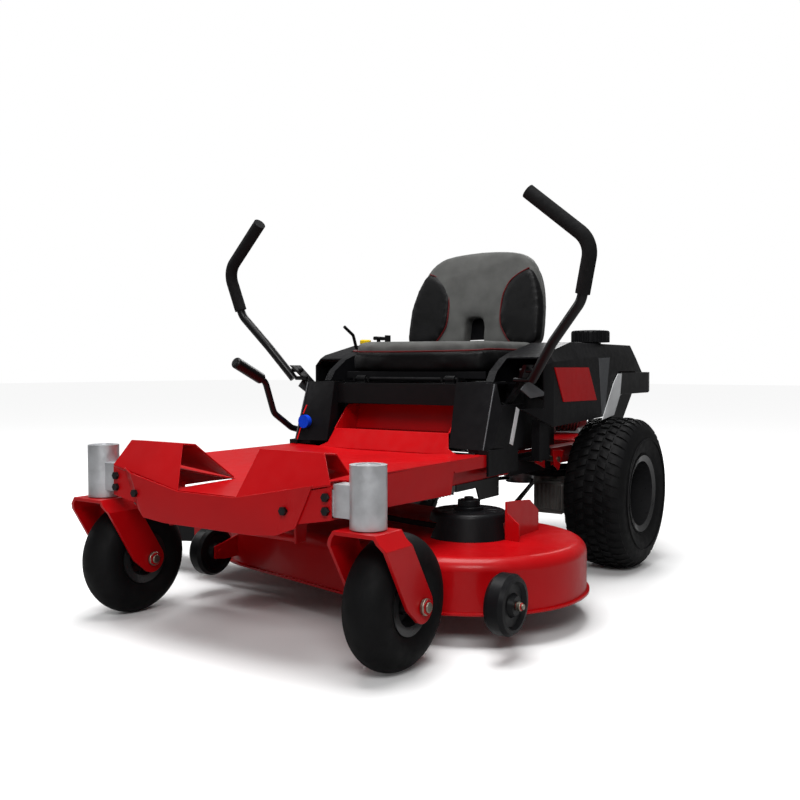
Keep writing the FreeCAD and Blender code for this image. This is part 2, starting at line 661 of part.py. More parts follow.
# ---------------------------------------------------------------- caster wheels
def caster_housings():
    x = CASTER_HALF_TRACK
    y = CASTER_PIVOT_Y
    barrel = cylinder((x, y, HOUSING_BOTTOM), Z_AXIS, HOUSING_R, HOUSING_HEIGHT)
    lug = box(BEAM_HALF + 0.5, x, y - 20, y + 18, BEAM_END_BOTTOM + 6, BEAM_TOP + 5)
    tongue_low = BEAM_END_BOTTOM + BEAM_WALL + 4
    tongue = front_plate([(BEAM_HALF - 55, tongue_low), (BEAM_HALF + 1, tongue_low),
                          (BEAM_HALF + 1, BEAM_TOP - BEAM_WALL - 2),
                          (BEAM_HALF - 55, BEAM_TOP - BEAM_WALL - 14)],
                         BEAM_FACE_Y + BEAM_WALL + 1, BEAM_FACE_Y + BEAM_DEPTH - BEAM_WALL - 1)
    casting = fuse([barrel, lug, tongue])
    casting = casting.cut(cylinder((x, y, HOUSING_BOTTOM - 1), Z_AXIS, BUSH_R + SEAT_GAP,
                                   HOUSING_HEIGHT + 2))
    for bolt_x, bolt_z in beam_bolts()[:2]:
        casting = casting.cut(cylinder((bolt_x, BEAM_FACE_Y - 5, bolt_z), Y_AXIS,
                                       5 + BOLT_GAP, 70))
    lower = ring((x, y, HOUSING_BOTTOM), Z_AXIS, BUSH_R, KINGPIN_R + RUNNING, BUSH_LENGTH)
    upper = ring((x, y, HOUSING_TOP - 22 - BUSH_LENGTH), Z_AXIS, BUSH_R, KINGPIN_R + RUNNING,
                 BUSH_LENGTH)
    cap = cylinder((x, y, HOUSING_TOP - 6), Z_AXIS, BUSH_R, 4)
    pieces = [casting, lower, upper, cap]
    return Part.makeCompound(pieces + [mirrored(piece) for piece in pieces])


def caster_fork():
    """One fork, a single bent strap, with its kingpin, kingpin nut and axle bolt."""
    x = CASTER_HALF_TRACK
    half = FORK_HALF_GAP + FORK_PLATE
    low = CASTER_TYRE_R - 60
    outer = [(-half, low), (-half, FORK_TOP - 30), (-half + 20, FORK_TOP),
             (half - 20, FORK_TOP), (half, FORK_TOP - 30), (half, low)]
    gap = FORK_HALF_GAP
    chamfer = FORK_PLATE * 0.55
    inner = [(-gap, low - 1), (-gap, FORK_TOP - 30 - chamfer / 2),
             (-gap + 20 - chamfer, FORK_CROWN_Z), (gap - 20 + chamfer, FORK_CROWN_Z),
             (gap, FORK_TOP - 30 - chamfer / 2), (gap, low - 1)]
    front = CASTER_PIVOT_Y - FORK_WIDTH * 0.55
    rear = CASTER_PIVOT_Y + FORK_WIDTH * 0.45
    strap = front_plate([(x + a, z) for a, z in outer], front - 5, CASTER_AXLE_Y + 60)
    strap = strap.cut(front_plate([(x + a, z) for a, z in inner], front - 6, CASTER_AXLE_Y + 61))
    end_r = 34.0
    axle_y = CASTER_AXLE_Y
    axle_z = CASTER_TYRE_R
    leg = [(front, FORK_TOP + 1), (rear, FORK_TOP + 1), (rear, FORK_TOP - 16),
           (axle_y + end_r * math.cos(math.radians(30)), axle_z + end_r / 2),
           (axle_y + end_r * math.cos(math.radians(235)),
            axle_z + end_r * math.sin(math.radians(235))),
           (axle_y - 55, axle_z + 3), (front, FORK_TOP - 16)]
    outline = side_plate(leg, x - half - 5, x + half + 5)
    outline = outline.fuse(cylinder((x - half - 5, axle_y, axle_z), X_AXIS, end_r, 2 * half + 10))
    strap = strap.common(outline)
    hole = cylinder((x - half - 5, axle_y, axle_z), X_AXIS, CASTER_AXLE_R + SEAT_GAP,
                    2 * half + 10)
    strap = strap.cut(hole)
    kingpin = cylinder((x, CASTER_PIVOT_Y, FORK_TOP - 1), Z_AXIS, KINGPIN_R,
                       HOUSING_TOP - 8 - FORK_TOP)
    washer = cylinder((x, CASTER_PIVOT_Y, FORK_TOP - 1), Z_AXIS, 22, 2.7)
    nut = hexagon((x, CASTER_PIVOT_Y, HOUSING_TOP - 21.5), Z_AXIS, 36, 10)
    strap = fuse([strap, kingpin, washer, nut])
    bolt = cylinder((x - half - 14, axle_y, axle_z), X_AXIS, CASTER_AXLE_R, 2 * half + 28)
    head = hexagon((x + half + 1, axle_y, axle_z), X_AXIS, 28, 9)
    axle_nut = hexagon((x - half - 11, axle_y, axle_z), X_AXIS, 28, 10)
    return Part.makeCompound([strap, fuse([bolt, head, axle_nut])])


def caster_rim():
    x, y, z = CASTER_HALF_TRACK, CASTER_AXLE_Y, CASTER_TYRE_R
    lip = CASTER_RIM_R + CASTER_RIM_LIP
    profile = [(-42, lip), (-38, lip), (-34, CASTER_RIM_R), (34, CASTER_RIM_R), (38, lip),
               (42, lip), (40, CASTER_RIM_R - 6), (12, 40), (8, 24), (CASTER_HUB_HALF, 20),
               (CASTER_HUB_HALF, CASTER_AXLE_R + RUNNING), (-CASTER_HUB_HALF,
                                                            CASTER_AXLE_R + RUNNING),
               (-CASTER_HUB_HALF, 20), (-8, 24), (-12, 40), (-40, CASTER_RIM_R - 6)]
    return revolved(profile_wire(profile), (x, y, z))


def caster_tyre():
    return tyre((CASTER_HALF_TRACK, CASTER_AXLE_Y, CASTER_TYRE_R), CASTER_TYRE_R, CASTER_TYRE_W,
                CASTER_RIM_R + CASTER_RIM_LIP + SEAT_GAP, 38, 43, 118, 8)


# ---------------------------------------------------------------- rear wheels
def rear_rim():
    x, y, z = REAR_HALF_TRACK, 0, REAR_TYRE_R
    lip = REAR_RIM_R + REAR_RIM_LIP
    half = REAR_TYRE_W / 2 - 15
    disc = -REAR_DISC_INSET
    profile = [(-half - 4, lip), (-half, lip), (-half + 6, REAR_RIM_R), (half - 6, REAR_RIM_R),
               (half, lip), (half + 4, lip), (half - 1, REAR_RIM_R - 4),
               (disc + 30, REAR_RIM_R - 4), (disc + 22, REAR_RIM_R - 20), (disc + 4, 72),
               (disc + 4, 36), (disc, 36), (disc, 72), (disc + 14, REAR_RIM_R - 10),
               (disc + 10, REAR_RIM_R - 4), (-half + 1, REAR_RIM_R - 4)]
    rim = revolved(profile_wire(profile), (x, y, z))
    for lug_y, lug_z in lug_places():
        rim = rim.cut(cylinder((x - 60, lug_y, lug_z), X_AXIS, LUG_STUD_R + BOLT_GAP, 80))
    return rim


def lug_places():
    """Centres (y, z) of the four wheel studs."""
    places = []
    for step in range(4):
        angle = math.radians(45 + 90 * step)
        places.append((LUG_CIRCLE_R * math.cos(angle),
                       REAR_TYRE_R + LUG_CIRCLE_R * math.sin(angle)))
    return places


def rear_tyre():
    return tyre((REAR_HALF_TRACK, 0, REAR_TYRE_R), REAR_TYRE_R, REAR_TYRE_W,
                REAR_RIM_R + REAR_RIM_LIP + SEAT_GAP, 78, 82, 210, 11)


def wheel_hub():
    """The axle shaft, its flange, four studs and four nuts."""
    disc_x = REAR_HALF_TRACK - REAR_DISC_INSET
    z = REAR_TYRE_R
    flange = cylinder((disc_x - HUB_FLANGE_T, 0, z), X_AXIS, HUB_FLANGE_R, HUB_FLANGE_T)
    nose = cylinder((disc_x - 1, 0, z), X_AXIS, 34, 22)
    dust_cap = cylinder((disc_x + 20, 0, z), X_AXIS, 24, 12)
    shaft = cylinder((HYDRO_X + 20, 0, z), X_AXIS, REAR_AXLE_R, disc_x - HYDRO_X - 21)
    pieces = [flange, nose, dust_cap, shaft]
    for y, stud_z in lug_places():
        pieces.append(cylinder((disc_x - 1, y, stud_z), X_AXIS, LUG_STUD_R, 26))
        pieces.append(hexagon((disc_x + 4 + SEAT_GAP, y, stud_z), X_AXIS, 19, 12))
    return fuse(pieces)


# ---------------------------------------------------------------- drive line
def transaxles():
    """Two hydrostatic transaxles, each with a ribbed case and an axle horn."""
    z = REAR_TYRE_R
    case = box(192, 296, -120, 70, z - 62, z + 30)
    case = case.makeFillet(12, case.Edges)
    pump = cylinder((HYDRO_X, HYDRO_Y, z + 20), Z_AXIS, 44, 22)
    horn = cylinder((290, 0, z), X_AXIS, 32, 45)
    flange = box(230, 292, -60, 60, z + 28, RAIL_BOTTOM)
    flange = flange.cut(box(225, 255, -70, 70, z + 42, RAIL_BOTTOM + 1))
    flange = flange.cut(cylinder((HYDRO_X, HYDRO_Y, z + 42), Z_AXIS, FAN_R + 5, 100))
    pieces = [case, pump, horn, flange]
    for y in range(-105, 60, 22):
        pieces.append(box(296 - 6, 302, y, y + 5, z - 50, z + 20))
    unit = fuse(pieces)
    unit = unit.cut(cylinder((HYDRO_X + 15, 0, z), X_AXIS, REAR_AXLE_R + RUNNING, 140))
    unit = unit.cut(cylinder((HYDRO_X, HYDRO_Y, z), Z_AXIS, 8 + RUNNING, 100))
    return Part.makeCompound([unit, mirrored(unit)])


def hydro_fan():
    """One transaxle's input shaft with its pulley and cooling fan."""
    x, y = HYDRO_X, HYDRO_Y
    shaft = cylinder((x, y, REAR_TYRE_R + 4), Z_AXIS, 8, 84)
    pulley = sheave(x, y, HYDRO_SHEAVE_R, DRIVE_BELT_Z)
    disc = cylinder((x, y, 292), Z_AXIS, FAN_R - 20, 3)
    blades = []
    for step in range(8):
        blade = Part.makeBox(44, 3, 14, V(30, -1.5, 0))
        blade.rotate(V(30, 0, 0), X_AXIS, 25)
        blade.rotate(V(0, 0, 0), Z_AXIS, 45 * step)
        blade.translate(V(x, y, 292))
        blades.append(blade)
    return fuse([shaft, pulley, disc] + blades)


def pto_pulley():
    """The crankshaft's end: drive sheave, electric clutch and deck sheave."""
    shaft = cylinder((0, CRANK_Y, DECK_BELT_Z - 8), Z_AXIS, 12.7, 190)
    upper = sheave(0, CRANK_Y, CRANK_SHEAVE_R, DRIVE_BELT_Z)
    clutch = cylinder((0, CRANK_Y, DECK_BELT_Z + BELT_H + 4), Z_AXIS, 62, 34)
    lower = sheave(0, CRANK_Y, CRANK_SHEAVE_R, DECK_BELT_Z)
    return fuse([shaft, upper, clutch, lower])


def drive_belt():
    return belt([(0, CRANK_Y, CRANK_SHEAVE_R), (-HYDRO_X, HYDRO_Y, HYDRO_SHEAVE_R),
                 (HYDRO_X, HYDRO_Y, HYDRO_SHEAVE_R)], DRIVE_BELT_Z)


def deck_belt():
    return belt([(0, CRANK_Y, CRANK_SHEAVE_R), (*SPINDLE_RIGHT, DECK_SHEAVE_R),
                 (*SPINDLE_LEFT, DECK_SHEAVE_R)], DECK_BELT_Z)


# ---------------------------------------------------------------- engine
def engine_block():
    """A vertical-shaft V-twin: crankcase, two finned cylinders with valve covers, oil filter."""
    base = ENGINE_BASE
    case = cylinder((0, CRANK_Y, base), Z_AXIS, 118, 120)
    case = case.makeFillet(10, [case.Edges[0], case.Edges[2]])
    pieces = [case]
    for side in (-1, 1):
        direction = V(side * math.sin(math.radians(48)), math.cos(math.radians(48)), 0)
        start = V(0, CRANK_Y, base + 62) + direction * 90
        pieces.append(Part.makeCylinder(42, 110, start, direction))
        for fin in range(7):
            fin_start = start + direction * (30 + 11 * fin)
            pieces.append(Part.makeCylinder(56, 3.5, fin_start, direction))
        cover_start = start + direction * 108
        pieces.append(Part.makeCylinder(46, 24, cover_start, direction))
    oil_filter = Part.makeCylinder(36, 80, V(-150, CRANK_Y - 60, base + 48), V(-0.6, -0.8, 0))
    pieces.append(oil_filter)
    neck = Part.makeCylinder(20, 90, V(-90, CRANK_Y - 50, base + 48), V(-0.75, -0.66, 0))
    pieces.append(neck)
    dipstick = cylinder((108, CRANK_Y - 82, base + 20), Z_AXIS, 9, 150)
    pieces.append(dipstick)
    pieces.append(box(80, 116, CRANK_Y - 90, CRANK_Y - 60, base + 10, base + 30))
    block = fuse(pieces)
    return block.cut(cylinder((0, CRANK_Y, base - 1), Z_AXIS, 12.7 + RUNNING, 40))


def engine_shroud():
    """The blower housing on the engine, with a round screen in its top."""
    base = ENGINE_BASE + 121
    outer = cylinder((0, CRANK_Y, base), Z_AXIS, 150, 92)
    wings = box(-175, 175, CRANK_Y + 10, CRANK_Y + 130, base, base + 60)
    body = outer.fuse(wings)
    body = body.removeSplitter()
    inner = cylinder((0, CRANK_Y, base - 1), Z_AXIS, 146, 89)
    inner = inner.fuse(box(-171, 171, CRANK_Y + 14, CRANK_Y + 126, base - 1, base + 56))
    body = body.cut(inner)
    grooves = []
    for radius in range(40, 120, 14):
        grooves.append(ring((0, CRANK_Y, base + 90), Z_AXIS, radius + 5, radius, 3))
    return body.cut(Part.makeCompound(grooves))


def air_filter():
    cover = box(-95, 95, CRANK_Y + 20, CRANK_Y + 128, ENGINE_BASE + 182, ENGINE_BASE + 250)
    upright = [edge for edge in cover.Edges if edge.BoundBox.ZLength > 10]
    cover = cover.makeFillet(22, upright)
    top = [edge for edge in cover.Edges if edge.BoundBox.ZMin > ENGINE_BASE + 249]
    cover = cover.makeFillet(10, top)
    shroud = cylinder((0, CRANK_Y, ENGINE_BASE + 100), Z_AXIS, 150.5, 113.5)
    return cover.cut(shroud)


def muffler():
    y = GUARD_REAR_Y - 62
    z = ENGINE_BASE + 30
    can = cylinder((-130, y, z), X_AXIS, 46, 260)
    can = can.makeFillet(10, [can.Edges[0], can.Edges[2]])
    tail = bar([(90, y, z), (160, y, z), (178, y + 22, z - 16), (182, y + 50, z - 30)], 18, 14)
    return fuse([can, tail])


def engine_guard():
    """A black flat-bar hoop around the engine, with two posts and two front struts."""
    def hoop(out):
        return [(404 + out, 53), (404 + out, 323), (352 + out, GUARD_REAR_Y + out),
                (-352 - out, GUARD_REAR_Y + out), (-404 - out, 323), (-404 - out, 53)]
    band = plan_plate(hoop(0) + hoop(-GUARD_T)[::-1], GUARD_BOTTOM, GUARD_TOP)
    base = ENGINE_BASE + 0.5
    post = side_plate([(RAIL_REAR_Y - 70, base), (RAIL_REAR_Y, base),
                       (GUARD_REAR_Y - 3, GUARD_BOTTOM + 5), (GUARD_REAR_Y - 3, GUARD_TOP - 5),
                       (GUARD_REAR_Y - 40, GUARD_TOP - 5), (RAIL_REAR_Y - 70, base + 55)],
                      RAIL_INNER + 34, RAIL_INNER + 40)
    foot = box(RAIL_INNER, RAIL_INNER + 40, RAIL_REAR_Y - 70, RAIL_REAR_Y, base, base + 6)
    strut = front_plate([(400, GUARD_TOP - 8), (400, GUARD_BOTTOM), (312, 478), (306, 470),
                         (306, base), (301, base), (301, 474), (308, 484),
                         (394, 531), (394, GUARD_TOP - 8)], 54, 92)
    strut = strut.fuse(box(RAIL_INNER, 306, 54, 92, base, base + 6))
    pieces = [band]
    for piece in (post.fuse(foot), strut):
        pieces.append(piece)
        pieces.append(mirrored(piece))
    return fuse(pieces)


# ---------------------------------------------------------------- fuel tank and battery
def fuel_tank():
    x, y = FUEL_NECK
    tank = box(FENDER_IN + 8, FENDER_OUT - 32, -250, 40, 512, FENDER_TOP - 12)
    tank = tank.makeFillet(14, tank.Edges)
    neck = cylinder((x, y, FENDER_TOP - 30), Z_AXIS, FUEL_NECK_R, 34)
    tank = fuse([tank, neck])
    tyre_room = cylinder((250, 0, REAR_TYRE_R), X_AXIS, REAR_TYRE_R + 14, 200)
    bore = cylinder((x, y, FENDER_TOP - 80), Z_AXIS, FUEL_NECK_R - 5, 120)
    return tank.cut(tyre_room).cut(bore)


def fuel_cap():
    x, y = FUEL_NECK
    base = FENDER_TOP + 5
    cap = cylinder((x, y, base), Z_AXIS, 58, 36)
    cap = cap.makeFillet(8, [edge for edge in cap.Edges if edge.BoundBox.ZMin > base + 30])
    for step in range(24):
        angle = math.radians(15 * step)
        groove = cylinder((x + 59.5 * math.cos(angle), y + 59.5 * math.sin(angle), base - 1),
                          Z_AXIS, 4, 40)
        cap = cap.cut(groove)
    return cap


def battery():
    case = box(-100, 70, -440, -300, RAIL_TOP + SHEET + 1, RAIL_TOP + 132)
    posts = [cylinder((x, -420, RAIL_TOP + 131), Z_AXIS, 8, 14) for x in (-80, 50)]
    return fuse([case] + posts)


# ---------------------------------------------------------------- cutting deck
def deck_outline(inset, z0, z1):
    circles = [(*SPINDLE_RIGHT, CHAMBER_R - inset), (*SPINDLE_LEFT, CHAMBER_R - inset)]
    body = loop_prism(circles, z0, z1)
    chute = box(DISCHARGE_X + inset, SPINDLE_RIGHT[0], DISCHARGE_FRONT_Y + inset,
                SPINDLE_RIGHT[1], z0, z1)
    return body.fuse(chute).removeSplitter()


def top_edges(shape, z):
    return [edge for edge in shape.Edges if edge.BoundBox.ZMin > z - 0.01]


def deck_shell():
    """The pressed shell, its rolled lip, anti-scalp brackets, hanger plates and hinge tabs."""
    outer = deck_outline(0, DECK_BOTTOM, DECK_TOP)
    outer = outer.makeFillet(DECK_ROUND, top_edges(outer, DECK_TOP))
    inner = deck_outline(DECK_SHEET, DECK_BOTTOM - 1, DECK_TOP - DECK_SHEET)
    inner = inner.makeFillet(DECK_ROUND - DECK_SHEET, top_edges(inner, DECK_TOP - DECK_SHEET))
    shell = outer.cut(inner)
    for x, y in (SPINDLE_LEFT, SPINDLE_RIGHT):
        shell = shell.cut(cylinder((x, y, DECK_TOP - 20), Z_AXIS, 38, 40))
    opening = box(DISCHARGE_X - 5, DISCHARGE_X + 60, DISCHARGE_FRONT_Y + 12,
                  DISCHARGE_REAR_Y, DECK_BOTTOM - 5, DECK_TOP - DECK_ROUND + 2)
    shell = shell.cut(opening)
    lip = deck_outline(-7, DECK_BOTTOM, DECK_BOTTOM + 5).cut(
        deck_outline(1, DECK_BOTTOM - 1, DECK_BOTTOM + 6))
    lip = lip.cut(opening)
    pieces = [shell, lip]
    for (x, y), inner_side in ((SCALP_LEFT, -1), (SCALP_RIGHT, 1)):
        plate_x = x + inner_side * (SCALP_W / 2 + 6) - 3
        pieces.append(side_plate([(y - 18, SCALP_Z - 16), (y + 18, SCALP_Z - 22),
                                  (y + 82, SCALP_Z - 22), (y + 82, SCALP_Z + 40),
                                  (y + 20, SCALP_Z + 24), (y - 18, SCALP_Z + 16)],
                                 plate_x, plate_x + 6))
        start = min(plate_x, x - SCALP_W / 2 - 12)
        pieces.append(cylinder((start, y, SCALP_Z), X_AXIS, SCALP_AXLE_R, SCALP_W + 24))
    for x, y in ((HANGER_X, SPINDLE_LEFT[1] + 105), (-HANGER_X, SPINDLE_RIGHT[1] + 60)):
        pieces.append(side_plate([(y + across, DECK_TOP + up) for across, up in HANGER_OUTLINE],
                                 x - HANGER_T / 2, x + HANGER_T / 2))
        pieces.append(front_plate([(x - 3, DECK_TOP - 6), (x + 34, DECK_TOP - 6),
                                   (x + 34, DECK_TOP + 40), (x - 3, DECK_TOP + 70)],
                                  y + HANGER_OUTLINE[0][0], y + HANGER_OUTLINE[0][0] + 5))
    hinge_x = DISCHARGE_X - 9
    hinge_z = DECK_TOP - DECK_ROUND - 2
    for y in (DISCHARGE_FRONT_Y + 20, (DISCHARGE_FRONT_Y + DISCHARGE_REAR_Y) / 2 - 8,
              DISCHARGE_REAR_Y - 34):
        tab = box(hinge_x, DISCHARGE_X + 22, y, y + 14, hinge_z - 5, hinge_z + 6)
        tab = tab.cut(box(DISCHARGE_X + 6, DISCHARGE_X + 30, y - 1, y + 15, hinge_z - 20,
                          hinge_z - 2))
        pieces.append(tab)
    pieces.append(cylinder((hinge_x, DISCHARGE_FRONT_Y + 12, hinge_z), Y_AXIS,
                           DEFLECTOR_HINGE_R, DISCHARGE_REAR_Y - DISCHARGE_FRONT_Y - 24))
    return fuse(pieces)


def discharge_deflector():
    """The hinged chute on the discharge opening, a moulded hood with two side walls."""
    hinge_x = DISCHARGE_X - 9
    hinge_z = DECK_TOP - DECK_ROUND - 2
    y0 = DISCHARGE_FRONT_Y + 36
    y1 = DISCHARGE_REAR_Y - 36
    tip_x = hinge_x - DEFLECTOR_REACH
    tip_z = hinge_z - 66
    hood = sheet([[(hinge_x - 6, y0, hinge_z + 7), (hinge_x - 6, y1, hinge_z + 7),
                   (tip_x, y1 + 16, tip_z), (tip_x, y0 - 16, tip_z)]], (0, 0, -5))
    pieces = [hood]
    for y, out_y in ((y0, y0 - 16), (y1 - 4, y1 + 12)):
        wall = [(hinge_x - 10, y, hinge_z + 4), (tip_x, out_y, tip_z - 2),
                (tip_x, out_y, tip_z - 18), (hinge_x - 10, y, hinge_z - 62)]
        pieces.append(sheet([wall], (0, 4, 0)))
    bore = cylinder((hinge_x, y0 - 1, hinge_z), Y_AXIS, DEFLECTOR_HINGE_R + RUNNING, y1 - y0 + 2)
    middle = (DISCHARGE_FRONT_Y + DISCHARGE_REAR_Y) / 2
    for start, end in ((y0, middle - 10), (middle + 8, y1)):
        pieces.append(cylinder((hinge_x, start, hinge_z), Y_AXIS, 8.5, end - start))
    return fuse(pieces).cut(bore)


def spindle_housings():
    housings = []
    for x, y in (SPINDLE_LEFT, SPINDLE_RIGHT):
        flange = cylinder((x, y, DECK_TOP), Z_AXIS, 62, 8)
        neck = cylinder((x, y, 110), Z_AXIS, 34, DECK_TOP - 105)
        bore = cylinder((x, y, 100), Z_AXIS, SPINDLE_R + RUNNING, 120)
        housings.append(fuse([flange, neck]).cut(bore))
    return Part.makeCompound(housings)


def spindle(x, y, blade_angle):
    """One blade spindle: shaft, pulley, blade and blade bolt."""
    shaft = cylinder((x, y, BLADE_Z - 8), Z_AXIS, SPINDLE_R, DECK_BELT_Z - BLADE_Z + 28)
    pulley = sheave(x, y, DECK_SHEAVE_R, DECK_BELT_Z)
    collar = cylinder((x, y, BLADE_Z + BLADE_T - 1), Z_AXIS, 24, 16)
    bolt = hexagon((x, y, BLADE_Z - 14), Z_AXIS, 30, 12)
    half = BLADE_LENGTH / 2
    flat = box(-half, half, -BLADE_WIDTH / 2, BLADE_WIDTH / 2, BLADE_Z, BLADE_Z + BLADE_T)
    sail = side_plate([(2, BLADE_Z + 1), (BLADE_WIDTH / 2 - 3, BLADE_Z + 17),
                       (BLADE_WIDTH / 2 - 3, BLADE_Z + 21), (2, BLADE_Z + 4)], half - 90, half - 4)
    other_sail = sail.copy()
    other_sail.rotate(V(0, 0, 0), Z_AXIS, 180)
    blade = fuse([flat, sail, other_sail])
    blade.rotate(V(0, 0, 0), Z_AXIS, blade_angle)
    blade.translate(V(x, y, 0))
    return fuse([shaft, pulley, collar, bolt, blade])


def belt_covers():
    """Two round covers over the spindle pulleys, open where the belt runs in and out."""
    covers = []
    for x, y in (SPINDLE_LEFT, SPINDLE_RIGHT):
        outer = Part.makeCone(106, 92, 63, V(x, y, DECK_TOP + 0.3), Z_AXIS)
        outer = outer.makeFillet(12, top_edges(outer, DECK_TOP + 63))
        inner = Part.makeCone(103, 89, 60, V(x, y, DECK_TOP - 0.5), Z_AXIS)
        cover = outer.cut(inner)
        window = box(x - 130, x + 130, y - 5, y + 130, DECK_TOP - 2, DECK_BELT_Z + BELT_H + 9)
        covers.append(cover.cut(window))
    left, right = covers
    side_window = box(SPINDLE_LEFT[0] - 130, SPINDLE_LEFT[0], SPINDLE_LEFT[1] - 90,
                      SPINDLE_LEFT[1], DECK_TOP - 2, DECK_BELT_Z + BELT_H + 9)
    right_window = box(SPINDLE_RIGHT[0], SPINDLE_RIGHT[0] + 130, SPINDLE_RIGHT[1] - 90,
                       SPINDLE_RIGHT[1], DECK_TOP - 2, DECK_BELT_Z + BELT_H + 9)
    return Part.makeCompound([left.cut(side_window), right.cut(right_window)])


def anti_scalp_wheel(x, y):
    half = SCALP_W / 2
    profile = [(-half, SCALP_AXLE_R + RUNNING), (half, SCALP_AXLE_R + RUNNING), (half, 20),
               (half - 10, 26), (half - 10, 44), (half - 2, 50), (half - 3, SCALP_R - 6),
               (half - 12, SCALP_R), (12 - half, SCALP_R), (3 - half, SCALP_R - 6),
               (2 - half, 50), (10 - half, 44), (10 - half, 26), (-half, 20)]
    return revolved(profile_wire(profile), (x, y, SCALP_Z))


# ---------------------------------------------------------------- levers and controls
def lift_lever():
    """The deck lift lever: a boss on its pin, a bent bar and a grip."""
    x = -LIFT_LEVER_X
    points = [(x, LIFT_PIVOT_Y - 12, LIFT_PIVOT_Z + 3), (x, -640, 432), (x, -716, 478),
              (x, -752, 570), (x, -858, 618)]
    lever = bar(points, 34, LIFT_BAR_R)
    boss = cylinder((x - 8.5, LIFT_PIVOT_Y, LIFT_PIVOT_Z), X_AXIS, 20, 17)
    lever = fuse([lever, boss])
    lever = lever.cut(cylinder((x - 10, LIFT_PIVOT_Y, LIFT_PIVOT_Z), X_AXIS,
                               PIVOT_PIN_R + RUNNING, 20))
    start = V(x, -766, 576.3)
    direction = V(0, -106, 48).normalize()
    grip = Part.makeCylinder(LIFT_GRIP_R, 116, start, direction)
    grip = grip.makeFillet(7, [grip.Edges[0], grip.Edges[2]])
    return fuse([lever, grip])


def lever_pivot():
    """The fore and aft pivot of one control lever: a boss, an upright and two ears."""
    y, z = LEVER_Y, LEVER_PIVOT_Z
    boss = cylinder((BOX_HALF + 6, y, z), X_AXIS, 20, 34)
    upright = box(282, 294, y - 20, y + 20, z, SWING_Z - 16)
    bridge = box(282, SWING_X + 10, y - 26, y + 26, SWING_Z - 24, SWING_Z - 14)
    pieces = [boss, upright, bridge]
    for ear_y in (y - 26, y + 18):
        pieces.append(box(SWING_X - 11, SWING_X + 10, ear_y, ear_y + 8, SWING_Z - 16, SWING_Z))
        pieces.append(cylinder((SWING_X, ear_y, SWING_Z), Y_AXIS, 11, 8))
    pieces.append(cylinder((SWING_X, y - 30, SWING_Z), Y_AXIS, SWING_PIN_R, 60))
    bracket = fuse(pieces)
    return bracket.cut(cylinder((BOX_HALF, y, z), X_AXIS, PIVOT_PIN_R + RUNNING, 42))


def control_lever():
    """One control lever at rest, swung out: a flat arm and the bent tube bolted to it."""
    y = LEVER_Y
    arm = sheet([[(ARM_POINTS[0][0] - 5, y - 15, ARM_POINTS[0][1]),
                  (ARM_POINTS[0][0] - 5, y + 15, ARM_POINTS[0][1]),
                  (ARM_POINTS[1][0] - 5, y + 13, ARM_POINTS[1][1]),
                  (ARM_POINTS[1][0] - 5, y - 17, ARM_POINTS[1][1])],
                 [(ARM_POINTS[1][0] - 5, y - 17, ARM_POINTS[1][1]),
                  (ARM_POINTS[1][0] - 5, y + 13, ARM_POINTS[1][1]),
                  (ARM_POINTS[2][0] - 5, y - 16, ARM_POINTS[2][1]),
                  (ARM_POINTS[2][0] - 5, y - 56, ARM_POINTS[2][1])]], (10, 0, 0))
    eye = cylinder((SWING_X, y - 16, SWING_Z), Y_AXIS, 12, 32)
    arm = fuse([arm, eye])
    arm = arm.cut(cylinder((SWING_X, y - 40, SWING_Z), Y_AXIS, SWING_PIN_R + RUNNING, 80))
    tube = bar(TUBE_POINTS, TUBE_BEND_R, LEVER_TUBE_R)
    bolts = []
    for share in (0.35, 0.75):
        bolt_x = ARM_POINTS[1][0] + share * (ARM_POINTS[2][0] - ARM_POINTS[1][0])
        bolt_z = ARM_POINTS[1][1] + share * (ARM_POINTS[2][1] - ARM_POINTS[1][1])
        bolts.append(cylinder((bolt_x - 14, y - 30, bolt_z), X_AXIS, 6, 44))
    return fuse([arm, tube] + bolts)


def lever_grip():
    """The foam grip over the upper part of one control lever."""
    first = V(*TUBE_POINTS[2])
    second = V(*TUBE_POINTS[3])
    start = first + (second - first) * GRIP_START
    tip = V(*TUBE_POINTS[4])
    beyond = tip + (tip - second).normalize() * 8
    points = [tuple(start), TUBE_POINTS[3], tuple(beyond)]
    solid = bar(points, TUBE_BEND_R, LEVER_GRIP_R)
    path = [tuple(start - (second - first).normalize() * 6), TUBE_POINTS[3], TUBE_POINTS[4]]
    bore = bar(path, TUBE_BEND_R, LEVER_TUBE_R + SEAT_GAP)
    return solid.cut(bore)


def on_control_pin(place, upper):
    """A small lever's upper part with its boss, bored for its pin under the right fender's top."""
    x, y = place
    z = FENDER_TOP - CONTROL_PIN_DROP
    boss = cylinder((x - 7, y, z), X_AXIS, 9, 14)
    lever = fuse([upper, boss])
    return lever.cut(cylinder((x - 10, y, z), X_AXIS, CONTROL_PIN_R + RUNNING, 20))


def control_pins():
    """The pins of the throttle and choke levers, each on a saddle under the fender's top."""
    pins = []
    for x, y in (THROTTLE_PLACE, CHOKE_PLACE):
        z = FENDER_TOP - CONTROL_PIN_DROP
        pin = cylinder((x - 18, y, z), X_AXIS, CONTROL_PIN_R, 36)
        legs = [box(x - 18, x - 12, y - 8, y + 8, z - 12, z + 12),
                box(x + 12, x + 18, y - 8, y + 8, z - 12, z + 12),
                box(x - 18, x + 18, y - 8, y + 8, z - 15, z - 11)]
        pins.append(fuse([pin] + legs))
    return pins


